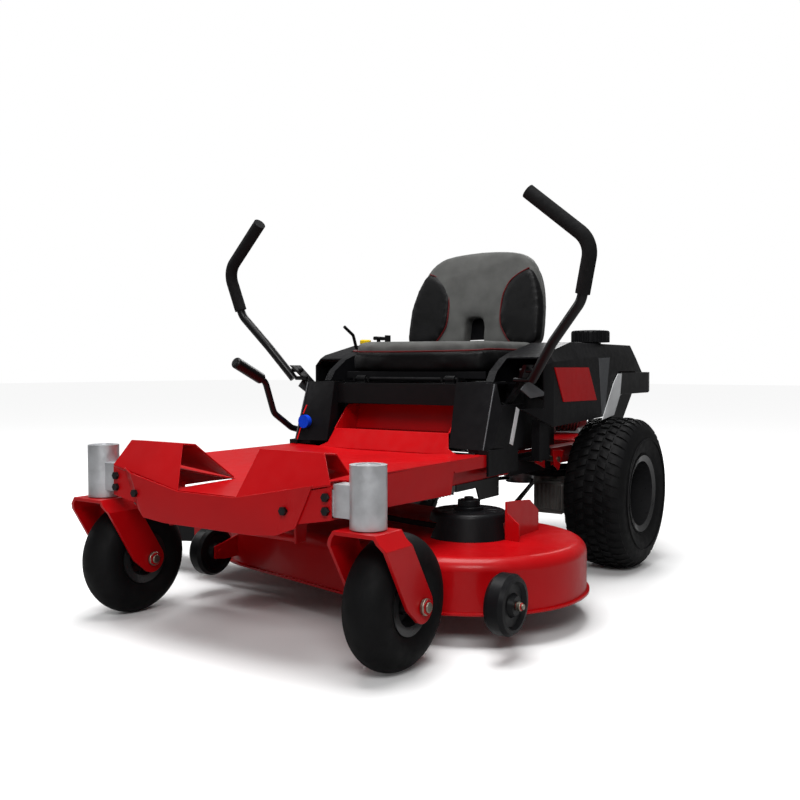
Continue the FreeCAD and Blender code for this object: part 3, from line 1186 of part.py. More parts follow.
def throttle_lever():
    """A flat stalk with a paddle on top."""
    x, y = THROTTLE_PLACE
    z = FENDER_TOP - CONTROL_PIN_DROP
    stalk = box(x - 4, x + 4, y - 5, y + 5, z, z + 58)
    paddle = box(x - 8, x + 8, y - 22, y + 30, z + 52, z + 64)
    paddle = paddle.makeFillet(4, paddle.Edges)
    return on_control_pin(THROTTLE_PLACE, fuse([stalk, paddle]))


def choke_lever():
    """A bent wire lever that leans forward."""
    x, y = CHOKE_PLACE
    z = FENDER_TOP - CONTROL_PIN_DROP
    points = [(x, y, z), (x, y - 26, z + 64), (x, y - 71, z + 89)]
    return on_control_pin(CHOKE_PLACE, bar(points, 12, 5))


def pto_knob():
    x, y = KNOB_PLACE
    top = FENDER_TOP
    stem = cylinder((x, y, top - 40), Z_AXIS, 6, 50)
    knob = cylinder((x, y, top + 2), Z_AXIS, 18, 16)
    knob = knob.makeFillet(5, [knob.Edges[0], knob.Edges[2]])
    return fuse([stem, knob])


def ignition_key():
    x, y = KEY_PLACE
    top = FENDER_TOP
    blade = cylinder((x, y, top - 30), Z_AXIS, 4, 44)
    bow = box(x - 3, x + 3, y - 13, y + 13, top + 12, top + 36)
    return fuse([blade, bow])


def height_dial():
    """The round height-of-cut knob on the right console's front face."""
    x, y, z = DIAL_PLACE
    dial = cylinder((x, y, z), V(0, -1, 0), DIAL_R, 18)
    dial = dial.makeFillet(4, [dial.Edges[2]])
    stem = cylinder((x, y + 26, z), V(0, -1, 0), DIAL_STEM_R, 28)
    return fuse([dial, stem])


# ---------------------------------------------------------------- seat
def seat_frame():
    """The tilting carrier under the seat: hinge pin, plate and two slide rails."""
    z = SEAT_HINGE_Z
    pin = cylinder((-178, SEAT_HINGE_Y, z), X_AXIS, SEAT_PIN_R, 356)
    plate = box(-178, 178, SEAT_HINGE_Y + 14, -150, BOX_TOP + 6, BOX_TOP + 9)
    ears = []
    for x in (-178, -128, 122, 172):
        ears.append(side_plate([(SEAT_HINGE_Y - 8, z - 8), (SEAT_HINGE_Y - 8, z + 6),
                                (SEAT_HINGE_Y + 30, z + 2), (SEAT_HINGE_Y + 30, BOX_TOP + 6),
                                (SEAT_HINGE_Y + 8, BOX_TOP + 6)], x, x + 6))
    rails = []
    for x in (-150, 150):
        rails.append(box(x - 14, x + 14, -500, -160, BOX_TOP + 9, BOX_TOP + 19))
    pads = [box(x - 12, x + 12, -190, -166, BOX_TOP + 0.6, BOX_TOP + 6) for x in (-164, 164)]
    return fuse([pin, plate] + ears + rails + pads)


def seat_pan():
    """The stamped pan that slides on the rails and carries both cushions."""
    z = BOX_TOP + 19.5
    plate = box(-212, 212, -500, -90, SEAT_BOTTOM - 6, SEAT_BOTTOM - 1)
    pieces = [plate]
    for x in (-150, 150):
        for side in (-1, 1):
            inner = x + side * 14.5
            outer = x + side * 19.5
            pieces.append(box(min(inner, outer), max(inner, outer), -490, -180, BOX_TOP + 10,
                              SEAT_BOTTOM - 5))
        pieces.append(box(x - 15, x + 15, -490, -180, z, SEAT_BOTTOM - 5))
    back = [(-96, SEAT_BOTTOM - 6), (-84, SEAT_BOTTOM - 6),
            (BACK_FRONT_Y + BACK_THICKNESS + BACK_LEAN + 8, BACK_TOP - 80),
            (BACK_FRONT_Y + BACK_THICKNESS + BACK_LEAN + 3, BACK_TOP - 80)]
    for x in (-150, 130):
        pieces.append(side_plate(back, x, x + 20))
    return fuse(pieces)


def seat_cushion():
    """The seat cushion: a rounded closed block that narrows a little to the rear."""
    outline = [(-SEAT_HALF + 30, SEAT_FRONT_Y), (SEAT_HALF - 30, SEAT_FRONT_Y),
               (SEAT_HALF, SEAT_FRONT_Y + 60), (SEAT_HALF - 12, SEAT_REAR_Y - 10),
               (SEAT_HALF - 40, SEAT_REAR_Y), (-SEAT_HALF + 40, SEAT_REAR_Y),
               (-SEAT_HALF + 12, SEAT_REAR_Y - 10), (-SEAT_HALF, SEAT_FRONT_Y + 60)]
    cushion = plan_plate(outline, SEAT_BOTTOM, SEAT_TOP)
    return cushion.makeFillet(16, top_edges(cushion, SEAT_TOP))


def seat_back():
    """The back cushion, leaning back, with an arched opening at the bottom of its middle."""
    bottom = SEAT_TOP + 2
    outline = [(-BACK_HALF + 22, bottom), (-BACK_HALF, bottom + 110), (-BACK_HALF + 6, bottom + 190),
               (-186, BACK_TOP - 36), (-120, BACK_TOP), (120, BACK_TOP), (186, BACK_TOP - 36),
               (BACK_HALF - 6, bottom + 190), (BACK_HALF, bottom + 110), (BACK_HALF - 22, bottom),
               (40, bottom), (40, bottom + 62), (24, bottom + 90), (-24, bottom + 90),
               (-40, bottom + 62), (-40, bottom)]
    height = BACK_TOP - bottom
    block = front_plate(outline, -400, 100)
    slab = side_plate([(BACK_FRONT_Y, bottom - 1), (BACK_FRONT_Y + BACK_THICKNESS, bottom - 1),
                       (BACK_FRONT_Y + BACK_THICKNESS + BACK_LEAN, bottom + height + 1),
                       (BACK_FRONT_Y + BACK_LEAN + 20, bottom + height + 1)], -300, 300)
    return block.common(slab)


# ---------------------------------------------------------------- fasteners
def fasteners():
    """Bolts through the front beam, with their nuts, and the pins of the two small levers."""
    bolts = control_pins()
    for side in (-1, 1):
        for index, (x, z) in enumerate(beam_bolts()):
            head_y = BEAM_FACE_Y if index < 2 else -1309.0
            rear_y = BEAM_FACE_Y + BEAM_DEPTH
            shank = cylinder((side * x, head_y - 1, z), Y_AXIS, 5, rear_y - head_y + 8)
            head = hexagon((side * x, head_y - 7.2, z), Y_AXIS, 16, 7)
            nut = hexagon((side * x, rear_y + 0.2, z), Y_AXIS, 16, 7)
            bolts.append(fuse([shank, head, nut]))
    return Part.makeCompound(bolts)


# ---------------------------------------------------------------- assembly and export
def all_nodes():
    nodes = {
        "main_frame": main_frame(),
        "front_beam": front_beam(),
        "front_panels": front_panels(),
        "floor_pan": floor_pan(),
        "toe_panel": toe_panel(),
        "seat_box": seat_box(),
        "consoles": consoles(),
        "fenders": fenders(),
        "caster_housings": caster_housings(),
        "transaxles": transaxles(),
        "drive_belt": drive_belt(),
        "fuel_tank": fuel_tank(),
        "fuel_cap": fuel_cap(),
        "battery": battery(),
        "fasteners": fasteners(),
        "pto_pulley": pto_pulley(),
        "deck_shell": deck_shell(),
        "discharge_deflector": discharge_deflector(),
        "spindle_housings": spindle_housings(),
        "spindle_left": spindle(*SPINDLE_LEFT, 20),
        "spindle_right": spindle(*SPINDLE_RIGHT, 75),
        "belt_covers": belt_covers(),
        "deck_belt": deck_belt(),
        "anti_scalp_left": anti_scalp_wheel(*SCALP_LEFT),
        "anti_scalp_right": anti_scalp_wheel(*SCALP_RIGHT),
        "lift_lever": lift_lever(),
        "throttle_lever": throttle_lever(),
        "choke_lever": choke_lever(),
        "pto_knob": pto_knob(),
        "ignition_key": ignition_key(),
        "height_dial": height_dial(),
        "seat_frame": seat_frame(),
        "seat_pan": seat_pan(),
        "seat_cushion": seat_cushion(),
        "seat_back": seat_back(),
        "engine_block": engine_block(),
        "engine_shroud": engine_shroud(),
        "air_filter": air_filter(),
        "muffler": muffler(),
        "engine_guard": engine_guard(),
    }
    handed = {
        "caster_fork": caster_fork,
        "caster_rim": caster_rim,
        "caster_tyre": caster_tyre,
        "rear_rim": rear_rim,
        "rear_tyre": rear_tyre,
        "wheel_hub": wheel_hub,
        "hydro_fan": hydro_fan,
        "lever_pivot": lever_pivot,
        "control_lever": control_lever,
        "lever_grip": lever_grip,
    }
    for name, build in handed.items():
        left = build()
        nodes[name + "_left"] = left
        nodes[name + "_right"] = mirrored(left)
    return nodes


def origin_shift(nodes):
    """The move that puts the whole machine's bottom centre at the origin."""
    whole = FreeCAD.BoundBox()
    for shape in nodes.values():
        whole.add(shape.optimalBoundingBox(False, False))
    return V(-(whole.XMin + whole.XMax) / 2, -(whole.YMin + whole.YMax) / 2, -whole.ZMin)


def main():
    os.makedirs("parts", exist_ok=True)
    nodes = all_nodes()
    shift = origin_shift(nodes)
    print("origin shift", shift, "nodes", len(nodes))
    for name, shape in nodes.items():
        shape.translate(shift)
        shape.exportStep(f"parts/{name}.step")
    return shift


SHIFT = main()
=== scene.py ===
"""A zero turn mower: looks, materials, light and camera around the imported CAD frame."""
import json
import math

import bmesh
import bpy
from mathutils import Matrix, Vector


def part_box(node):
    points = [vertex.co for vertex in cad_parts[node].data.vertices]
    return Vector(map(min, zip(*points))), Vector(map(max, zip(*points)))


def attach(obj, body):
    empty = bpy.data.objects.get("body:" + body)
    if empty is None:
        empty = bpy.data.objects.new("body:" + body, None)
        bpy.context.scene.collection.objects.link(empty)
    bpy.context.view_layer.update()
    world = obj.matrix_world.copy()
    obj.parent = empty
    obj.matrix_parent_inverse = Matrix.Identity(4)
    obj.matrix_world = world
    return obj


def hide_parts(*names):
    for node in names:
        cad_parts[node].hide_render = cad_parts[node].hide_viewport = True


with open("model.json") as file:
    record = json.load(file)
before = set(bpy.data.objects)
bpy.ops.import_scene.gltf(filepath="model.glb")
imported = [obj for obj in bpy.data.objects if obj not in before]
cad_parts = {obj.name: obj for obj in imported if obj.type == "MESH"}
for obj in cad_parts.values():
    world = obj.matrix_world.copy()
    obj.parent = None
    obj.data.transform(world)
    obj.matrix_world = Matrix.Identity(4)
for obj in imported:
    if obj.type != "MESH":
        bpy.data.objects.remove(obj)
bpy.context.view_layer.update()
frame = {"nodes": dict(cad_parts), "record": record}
NODES = frame["nodes"]
NODE_SLOT = {part["node"]: part["material_slot"] for part in frame["record"]["subparts"]}

# ---------------------------------------------------------------- sizes and places
HALF_TRACK = 0.417          # the rear tyre's middle from the machine's centre line
_low, _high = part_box("rear_tyre_left")
CENTRE_X = (_low.x + _high.x) / 2 - HALF_TRACK
AXLE_Y = (_low.y + _high.y) / 2
REAR_TYRE_R = 0.2286
CASTER_TYRE_R = 0.1397


def at(x, y, z):
    """A point in millimetres from the rear axle's middle on the ground, as the row's metres."""
    return Vector((CENTRE_X + x / 1000, AXLE_Y + y / 1000, z / 1000))


# ---------------------------------------------------------------- materials
class Nodes:
    """A small helper that builds one material's node tree."""

    def __init__(self, name):
        self.material = bpy.data.materials.new(name)
        self.material.use_nodes = True
        self.tree = self.material.node_tree
        self.shader = self.tree.nodes["Principled BSDF"]
        self.coordinates = self.tree.nodes.new("ShaderNodeTexCoord").outputs["Object"]

    def link(self, source, target):
        self.tree.links.new(source, target)
        return self

    def stretched(self, scale):
        mapping = self.tree.nodes.new("ShaderNodeMapping")
        mapping.inputs["Scale"].default_value = scale
        self.link(self.coordinates, mapping.inputs["Vector"])
        return mapping.outputs["Vector"]

    def noise(self, scale, detail=3.0, vector=None, distortion=0.0):
        node = self.tree.nodes.new("ShaderNodeTexNoise")
        node.inputs["Scale"].default_value = scale
        node.inputs["Detail"].default_value = detail
        node.inputs["Distortion"].default_value = distortion
        self.link(vector or self.coordinates, node.inputs["Vector"])
        return node.outputs["Fac"]

    def cells(self, scale, vector=None):
        node = self.tree.nodes.new("ShaderNodeTexVoronoi")
        node.inputs["Scale"].default_value = scale
        self.link(vector or self.coordinates, node.inputs["Vector"])
        return node.outputs["Distance"]

    def spread(self, value, low, high, start=0.3, stop=0.7):
        node = self.tree.nodes.new("ShaderNodeMapRange")
        for key, number in (("From Min", start), ("From Max", stop),
                            ("To Min", low), ("To Max", high)):
            node.inputs[key].default_value = number
        self.link(value, node.inputs["Value"])
        return node.outputs["Result"]

    def colours(self, value, stops):
        ramp = self.tree.nodes.new("ShaderNodeValToRGB")
        elements = ramp.color_ramp.elements
        while len(elements) < len(stops):
            elements.new(0.5)
        for element, (place, colour) in zip(elements, stops):
            element.position = place
            element.color = (*colour, 1.0)
        self.link(value, ramp.inputs["Fac"])
        self.link(ramp.outputs["Color"], self.shader.inputs["Base Color"])
        return ramp.outputs["Color"]

    def sum(self, first, second, share):
        node = self.tree.nodes.new("ShaderNodeMath")
        node.operation = "MULTIPLY_ADD"
        node.inputs[1].default_value = share
        self.link(second, node.inputs[0])
        self.link(first, node.inputs[2])
        return node.outputs["Value"]

    def bump(self, height, strength, distance):
        node = self.tree.nodes.new("ShaderNodeBump")
        node.inputs["Strength"].default_value = strength
        node.inputs["Distance"].default_value = distance
        self.link(height, node.inputs["Height"])
        self.link(node.outputs["Normal"], self.shader.inputs["Normal"])
        return self

    def roughness(self, value, low, high):
        self.link(self.spread(value, low, high), self.shader.inputs["Roughness"])
        return self

    def set(self, **values):
        for key, number in values.items():
            self.shader.inputs[key.replace("_", " ")].default_value = number
        return self


def shade(colour, factor):
    return tuple(channel * factor for channel in colour)


def paint(name, colour, rough, coat):
    m = Nodes(name)
    broad = m.noise(5.0, 5.0)
    m.colours(broad, [(0.3, shade(colour, 0.86)), (0.6, colour), (0.8, shade(colour, 1.08))])
    m.roughness(m.noise(38.0, 6.0), rough * 0.85, rough * 1.25)
    m.bump(m.noise(170.0, 2.0), 0.05, 0.0002)
    m.set(Coat_Weight=coat, Coat_Roughness=0.08, Specular_IOR_Level=0.16)
    return m.material


def plastic(name, colour, rough, grain=900.0, depth=0.12):
    m = Nodes(name)
    m.colours(m.noise(7.0, 6.0), [(0.3, shade(colour, 0.8)), (0.7, shade(colour, 1.2))])
    m.roughness(m.noise(60.0, 4.0), rough * 0.85, rough * 1.2)
    m.bump(m.cells(grain), depth, 0.0002)
    m.set(Specular_IOR_Level=0.14)
    return m.material


def casting(name, colour, rough, metallic, scale=260.0, depth=0.35):
    m = Nodes(name)
    m.colours(m.noise(16.0, 8.0), [(0.3, shade(colour, 0.72)), (0.7, shade(colour, 1.12))])
    m.roughness(m.noise(90.0, 5.0), rough * 0.8, rough * 1.25)
    m.bump(m.sum(m.noise(scale, 4.0), m.cells(scale * 1.7), 0.4), depth, 0.0007)
    m.set(Metallic=metallic)
    return m.material


def brushed(name, colour, rough, direction):
    m = Nodes(name)
    streaks = m.noise(60.0, 5.0, m.stretched(direction))
    m.colours(m.sum(streaks, m.noise(9.0, 4.0), 0.5),
              [(0.45, shade(colour, 0.65)), (0.95, shade(colour, 1.1))])
    m.roughness(streaks, rough * 0.75, rough * 1.3)
    m.bump(streaks, 0.12, 0.0004)
    m.set(Metallic=1.0)
    return m.material


def rubber(name, colour, rough, depth=0.25):
    m = Nodes(name)
    m.colours(m.noise(22.0, 8.0),
              [(0.3, shade(colour, 0.75)), (0.62, colour), (0.85, shade(colour, 1.7))])
    m.roughness(m.noise(45.0, 5.0), rough * 0.85, min(rough * 1.12, 1.0))
    m.bump(m.sum(m.noise(520.0, 3.0), m.noise(70.0, 2.0), 0.6), depth, 0.0006)
    m.set(Specular_IOR_Level=0.12)
    return m.material


def woven(name, colour, scale):
    """A coated weave: two crossed waves over a soft change of tone."""
    m = Nodes(name)
    waves = []
    for direction in ("X", "Z"):
        wave = m.tree.nodes.new("ShaderNodeTexWave")
        wave.bands_direction = direction
        wave.inputs["Scale"].default_value = scale
        wave.inputs["Distortion"].default_value = 1.2
        wave.inputs["Detail Scale"].default_value = 3.0
        m.link(m.coordinates, wave.inputs["Vector"])
        waves.append(wave.outputs["Fac"])
    weave = m.sum(waves[0], waves[1], 1.0)
    m.colours(m.sum(m.noise(14.0, 6.0), weave, 0.12),
              [(0.35, shade(colour, 0.7)), (0.85, shade(colour, 1.2))])
    m.roughness(m.noise(50.0, 4.0), 0.62, 0.82)
    m.bump(weave, 0.25, 0.0006)
    m.set(Sheen_Weight=0.08, Sheen_Roughness=0.4, Specular_IOR_Level=0.15)
    return m.material


def leather(name, colour):
    m = Nodes(name)
    m.colours(m.noise(10.0, 6.0), [(0.3, shade(colour, 0.75)), (0.75, shade(colour, 1.35))])
    m.roughness(m.noise(70.0, 4.0), 0.42, 0.62)
    m.bump(m.sum(m.cells(420.0), m.noise(160.0, 3.0), 0.5), 0.3, 0.0008)
    m.set(Specular_IOR_Level=0.12)
    return m.material


def foam(name, colour):
    m = Nodes(name)
    m.colours(m.cells(700.0), [(0.05, shade(colour, 0.5)), (0.5, shade(colour, 1.3))])
    m.roughness(m.noise(80.0, 3.0), 0.78, 0.95)
    m.bump(m.sum(m.cells(700.0), m.noise(60.0, 3.0), 0.4), 0.4, 0.0009)
    m.set(Specular_IOR_Level=0.15)
    return m.material


RED = (0.43, 0.0011, 0.0032)
MATERIALS = {
    "red_paint": paint("red_paint", RED, 0.34, 0.12),
    "black_paint": paint("black_paint", (0.0045, 0.0045, 0.005), 0.34, 0.1),
    "black_plastic": plastic("black_plastic", (0.0045, 0.0045, 0.0052), 0.38),
    "cast_silver": casting("cast_silver", (0.62, 0.63, 0.65), 0.42, 0.85),
    "engine_metal": casting("engine_metal", (0.24, 0.245, 0.25), 0.55, 0.6),
    "dark_casting": casting("dark_casting", (0.075, 0.074, 0.072), 0.5, 0.55),
    "steel": brushed("steel", (0.42, 0.42, 0.43), 0.36, (1.0, 1.0, 14.0)),
    "zinc": brushed("zinc", (0.30, 0.27, 0.22), 0.38, (6.0, 1.0, 6.0)),
    "tyre": rubber("tyre", (0.0042, 0.0042, 0.0046), 0.62),
    "rim_black": paint("rim_black", (0.018, 0.018, 0.019), 0.30, 0.5),
    "belt": rubber("belt", (0.02, 0.02, 0.02), 0.8),
    "grip_foam": foam("grip_foam", (0.0052, 0.0052, 0.0055)),
    "seat_vinyl": woven("seat_vinyl", (0.070, 0.071, 0.068), 190.0),
    "blue_plastic": plastic("blue_plastic", (0.004, 0.05, 0.62), 0.28, 700.0, 0.05),
    "yellow_plastic": plastic("yellow_plastic", (0.80, 0.55, 0.012), 0.30, 700.0, 0.05),
    "tank_plastic": plastic("tank_plastic", (0.022, 0.022, 0.022), 0.5),
}
BOLSTER = leather("bolster", (0.0032, 0.0032, 0.0035))
PIPING = plastic("piping", (0.07, 0.003, 0.004), 0.5, 1200.0, 0.2)
BLACK_OXIDE = brushed("black_oxide", (0.035, 0.035, 0.036), 0.4, (1.0, 6.0, 1.0))
RED_TRIM = plastic("red_trim", (0.55, 0.008, 0.01), 0.3, 1000.0, 0.04)
# painted light: a dark grey a little lighter than the black plastics for painted highlights on lit facets
# and edges, and a pale grey for a painted highlight and a painted reflection
PAINTED_EDGE_HIGHLIGHT = plastic("painted_edge_highlight", (0.07, 0.073, 0.078), 0.34, 800.0, 0.08)
PAINTED_PALE_HIGHLIGHT = plastic("painted_pale_highlight", (0.62, 0.63, 0.64), 0.4, 900.0, 0.06)
CASE_METAL = casting("case_metal", (0.17, 0.165, 0.155), 0.5, 0.5)
MATERIALS_BY_NODE = {name: MATERIALS[slot] for name, slot in NODE_SLOT.items()}
MATERIALS_BY_NODE["fasteners"] = BLACK_OXIDE
MATERIALS_BY_NODE["transaxles"] = CASE_METAL
for word in ("left", "right"):
    MATERIALS_BY_NODE["wheel_hub_" + word] = MATERIALS["steel"]


# ---------------------------------------------------------------- mesh helpers
def new_object(name, mesh, material, body, smooth=True):
    thing = bpy.data.objects.new(name, mesh)
    bpy.context.scene.collection.objects.link(thing)
    mesh.materials.clear()
    mesh.materials.append(material)
    if smooth:
        mesh.polygons.foreach_set("use_smooth", [True] * len(mesh.polygons))
        mesh.set_sharp_from_angle(angle=math.radians(38))
    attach(thing, body)
    return thing


def mesh_from(name, vertices, faces):
    mesh = bpy.data.meshes.new(name)
    mesh.from_pydata([tuple(v) for v in vertices], [], faces)
    mesh.validate()
    return mesh


def bevelled(thing, width, segments=2, angle=32):
    bevel = thing.modifiers.new("edge", "BEVEL")
    bevel.width = width
    bevel.segments = segments
    bevel.limit_method = "ANGLE"
    bevel.angle_limit = math.radians(angle)
    bevel.harden_normals = False
    return thing


def sorted_corners(first, second):
    """The lowest and the highest corner of the box between two points."""
    return (Vector(min(pair) for pair in zip(first, second)),
            Vector(max(pair) for pair in zip(first, second)))


def box_piece(name, low, high, material, body, slot=None, edge=0.001, turn=None):
    """A box from its two corners (Vectors in the row frame), with soft edges."""
    bm = bmesh.new()
    bmesh.ops.create_cube(bm, size=1.0)
    size = high - low
    middle = (low + high) / 2
    place = Matrix.Translation(middle) @ (turn or Matrix.Identity(4)) @ Matrix.Diagonal((*size, 1.0))
    bmesh.ops.transform(bm, matrix=place, verts=bm.verts)
    mesh = bpy.data.meshes.new(name)
    bm.to_mesh(mesh)
    bm.free()
    piece = new_object(name, mesh, material, body, smooth=False)
    bevelled(piece, edge)
    return piece


def joined(name, parts, material, body):
    """One object from several (vertices, faces) lists."""
    vertices, faces = [], []
    for some, their_faces in parts:
        start = len(vertices)
        vertices += some
        faces += [[index + start for index in face] for face in their_faces]
    return new_object(name, mesh_from(name, vertices, faces), material, body)


def tube(points, radius, sides=12, closed=False):
    """(vertices, faces) of a round tube along points, with flat ends unless it is closed."""
    vertices, faces = [], []
    count = len(points)
    up = Vector((0.13, 0.21, 0.97))
    for index, point in enumerate(points):
        before = points[index - 1] if index or closed else point
        after = points[(index + 1) % count] if index < count - 1 or closed else point
        along = (after - before).normalized()
        side = along.cross(up)
        if side.length < 1e-3:
            side = along.cross(Vector((1, 0, 0)))
        side.normalize()
        other = along.cross(side)
        for step in range(sides):
            turn = 2 * math.pi * step / sides
            vertices.append(point + radius * (math.cos(turn) * side + math.sin(turn) * other))
    rings = count if closed else count - 1
    for ring in range(rings):
        following = (ring + 1) % count
        for step in range(sides):
            nearby = (step + 1) % sides
            faces.append([ring * sides + step, ring * sides + nearby,
                          following * sides + nearby, following * sides + step])
    if not closed:
        faces.append(list(range(sides))[::-1])
        faces.append([(count - 1) * sides + step for step in range(sides)])
    return vertices, faces


def prism(outline, depth):
    """(vertices, faces) of a flat plate: outline is Vectors in order, depth the way it thickens."""
    count = len(outline)
    vertices = list(outline) + [point + depth for point in outline]
    faces = [list(range(count))[::-1], list(range(count, 2 * count))]
    for index in range(count):
        following = (index + 1) % count
        faces.append([index, following, following + count, index + count])
    return vertices, faces


def softened(node, width, material=None, segments=2, angle=32, dissolve=0.4):
    """A copy of a CAD node with its sheet edges rounded, which stands for the node."""
    body = next(name for name, members in frame["record"]["behaviour"]["bodies"].items() if node in members)
    mesh = NODES[node].data.copy()
    bm = bmesh.new()
    bm.from_mesh(mesh)
    bmesh.ops.remove_doubles(bm, verts=bm.verts, dist=2e-5)
    bmesh.ops.dissolve_limit(bm, angle_limit=math.radians(dissolve), verts=bm.verts, edges=bm.edges)
    bm.to_mesh(mesh)
    bm.free()
    if mesh.has_custom_normals and hasattr(mesh, "free_custom_normals"):
        mesh.free_custom_normals()
    piece = new_object(node + "_formed", mesh, material or MATERIALS_BY_NODE[node], body)
    bevelled(piece, width, segments, angle)
    weighted = piece.modifiers.new("normals", "WEIGHTED_NORMAL")
    weighted.keep_sharp = True
    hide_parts(node)
    return piece


for name, thing in NODES.items():
    thing.data.materials.clear()
    thing.data.materials.append(MATERIALS_BY_NODE[name])

EDGE_WIDTHS = {             # metres of bevel on each node's edges
    "front_panels": 0.0028, "floor_pan": 0.002, "toe_panel": 0.002, "seat_box": 0.0018,
    "consoles": 0.0045, "fenders": 0.006, "front_beam": 0.0016, "caster_fork_left": 0.0022,
    "caster_fork_right": 0.0022, "deck_shell": 0.0016, "engine_guard": 0.0022,
    "discharge_deflector": 0.002, "battery": 0.004, "air_filter": 0.006, "lever_pivot_left": 0.0012,
    "lever_pivot_right": 0.0012, "main_frame": 0.0016,
}
for name, width in EDGE_WIDTHS.items():
    softened(name, width)


# ---------------------------------------------------------------- stuffed pieces
def ring_of_faces(outline, back, front, place):
    """A closed block: outline is (across, up) pairs, back and front its depths, place maps to the row."""
    count = len(outline)
    vertices = [place(u, v, back) for u, v in outline] + [place(u, v, front) for u, v in outline]
    faces = [list(range(count))[::-1], list(range(count, 2 * count))]
    for index in range(count):
        following = (index + 1) % count
        faces.append([index, following, following + count, index + count])
    return vertices, faces


def smooth_outline(points, rounds=2):
    """The outline with its corners cut, so that the pad has round corners."""
    for _ in range(rounds):
        cut = []
        for index, point in enumerate(points):
            following = points[(index + 1) % len(points)]
            cut.append(tuple(0.75 * a + 0.25 * b for a, b in zip(point, following)))
            cut.append(tuple(0.25 * a + 0.75 * b for a, b in zip(point, following)))
        points = cut
    return points


CLOTH_STEPS = 20            # frames of the cloth run
CLOTH_MASS = 0.3
CLOTH_STRETCH = 18          # tension and compression stiffness
CLOTH_BEND = 3
SMOOTHING_ROUNDS = 6


def stuffed(name, outline, back, front, place, material, cap, voxel=0.0055, pressure=2.0):
    """A padded piece: a closed block, remeshed, swollen by cloth pressure and smoothed."""
    vertices, faces = ring_of_faces(outline, back, front, place)
    mesh = mesh_from(name, vertices, faces)
    bm = bmesh.new()
    bm.from_mesh(mesh)
    bmesh.ops.recalc_face_normals(bm, faces=bm.faces)
    bm.to_mesh(mesh)
    bm.free()
    piece = bpy.data.objects.new(name, mesh)
    bpy.context.scene.collection.objects.link(piece)
    remesh = piece.modifiers.new("voxels", "REMESH")
    remesh.mode = "VOXEL"
    remesh.voxel_size = voxel
    apply_modifiers(piece)
    start = [vertex.co.copy() for vertex in piece.data.vertices]
    cloth = piece.modifiers.new("stuffing", "CLOTH")
    cloth.settings.quality = 4
    cloth.settings.mass = CLOTH_MASS
    cloth.settings.tension_stiffness = CLOTH_STRETCH
    cloth.settings.compression_stiffness = CLOTH_STRETCH
    cloth.settings.bending_stiffness = CLOTH_BEND
    cloth.settings.use_pressure = True
    cloth.settings.uniform_pressure_force = pressure
    cloth.settings.effector_weights.gravity = 0.0
    scene = bpy.context.scene
    for step in range(1, CLOTH_STEPS + 1):
        scene.frame_set(step)
    apply_modifiers(piece)
    scene.frame_set(1)
    for vertex, place_before in zip(piece.data.vertices, start):
        moved = vertex.co - place_before
        if moved.length > cap:
            vertex.co = place_before + moved * (cap / moved.length)
    bm = bmesh.new()
    bm.from_mesh(piece.data)
    for _ in range(SMOOTHING_ROUNDS):
        bmesh.ops.smooth_vert(bm, verts=bm.verts, factor=0.5,
                              use_axis_x=True, use_axis_y=True, use_axis_z=True)
    bm.to_mesh(piece.data)
    bm.free()
    piece.data.polygons.foreach_set("use_smooth", [True] * len(piece.data.polygons))
    piece.data.materials.clear()
    piece.data.materials.append(material)
    finer = piece.modifiers.new("finer", "SUBSURF")
    finer.levels = 1
    finer.render_levels = 1
    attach(piece, "seat")
    return piece


def apply_modifiers(piece):
    bpy.context.view_layer.update()
    shown = piece.evaluated_get(bpy.context.evaluated_depsgraph_get())
    mesh = bpy.data.meshes.new_from_object(shown)
    old = piece.data
    piece.modifiers.clear()
    piece.data = mesh
    bpy.data.meshes.remove(old)


# the seat, in machine millimetres
BACK_BOTTOM = 676.0
BACK_TOP = 966.0
BACK_FRONT_Y = -166.0       # the pad's front face at its bottom
BACK_LEAN = 58.0            # how far the top lies behind the bottom
BACK_HALF = 236.0
BACK_WRAP = 20.0            # how far the sides come forward
BACK_LOINS = 9.0            # how far the middle bulges at the loins
CUSHION_HALF = 250.0
CUSHION_BASE = 596.0
CUSHION_HEIGHT = 76.0


def on_back(across, up, depth):
    """A point of the leaning seat back: its sides come forward a little, and it bulges at the loins."""
    share = (up - BACK_BOTTOM) / (BACK_TOP - BACK_BOTTOM)
    wrap = -BACK_WRAP * (abs(across) / BACK_HALF) ** 2.4
    middle = 1 - (across / BACK_HALF) ** 2
    loins = -BACK_LOINS * math.sin(math.pi * min(max(share * 1.25, 0.0), 1.0)) * middle
    return at(across, BACK_FRONT_Y + BACK_LEAN * share + wrap + loins + depth, up)


def on_cushion(across, along, height):
    """A point of the seat cushion: its front rolls down and its middle is dished."""
    dish = -9.0 * (1 - (across / CUSHION_HALF) ** 2) * math.exp(-((along + 300.0) / 130.0) ** 2)
    roll = -8.0 * max(0.0, (-470.0 - along) / 60.0) ** 1.5
    return at(across, along, height + (dish + roll) * (height - CUSHION_BASE) / CUSHION_HEIGHT)


def both_ways(points):
    """A right half outline, bottom to top, closed with its mirror image."""
    return points + [(-u, v) for u, v in reversed(points)]


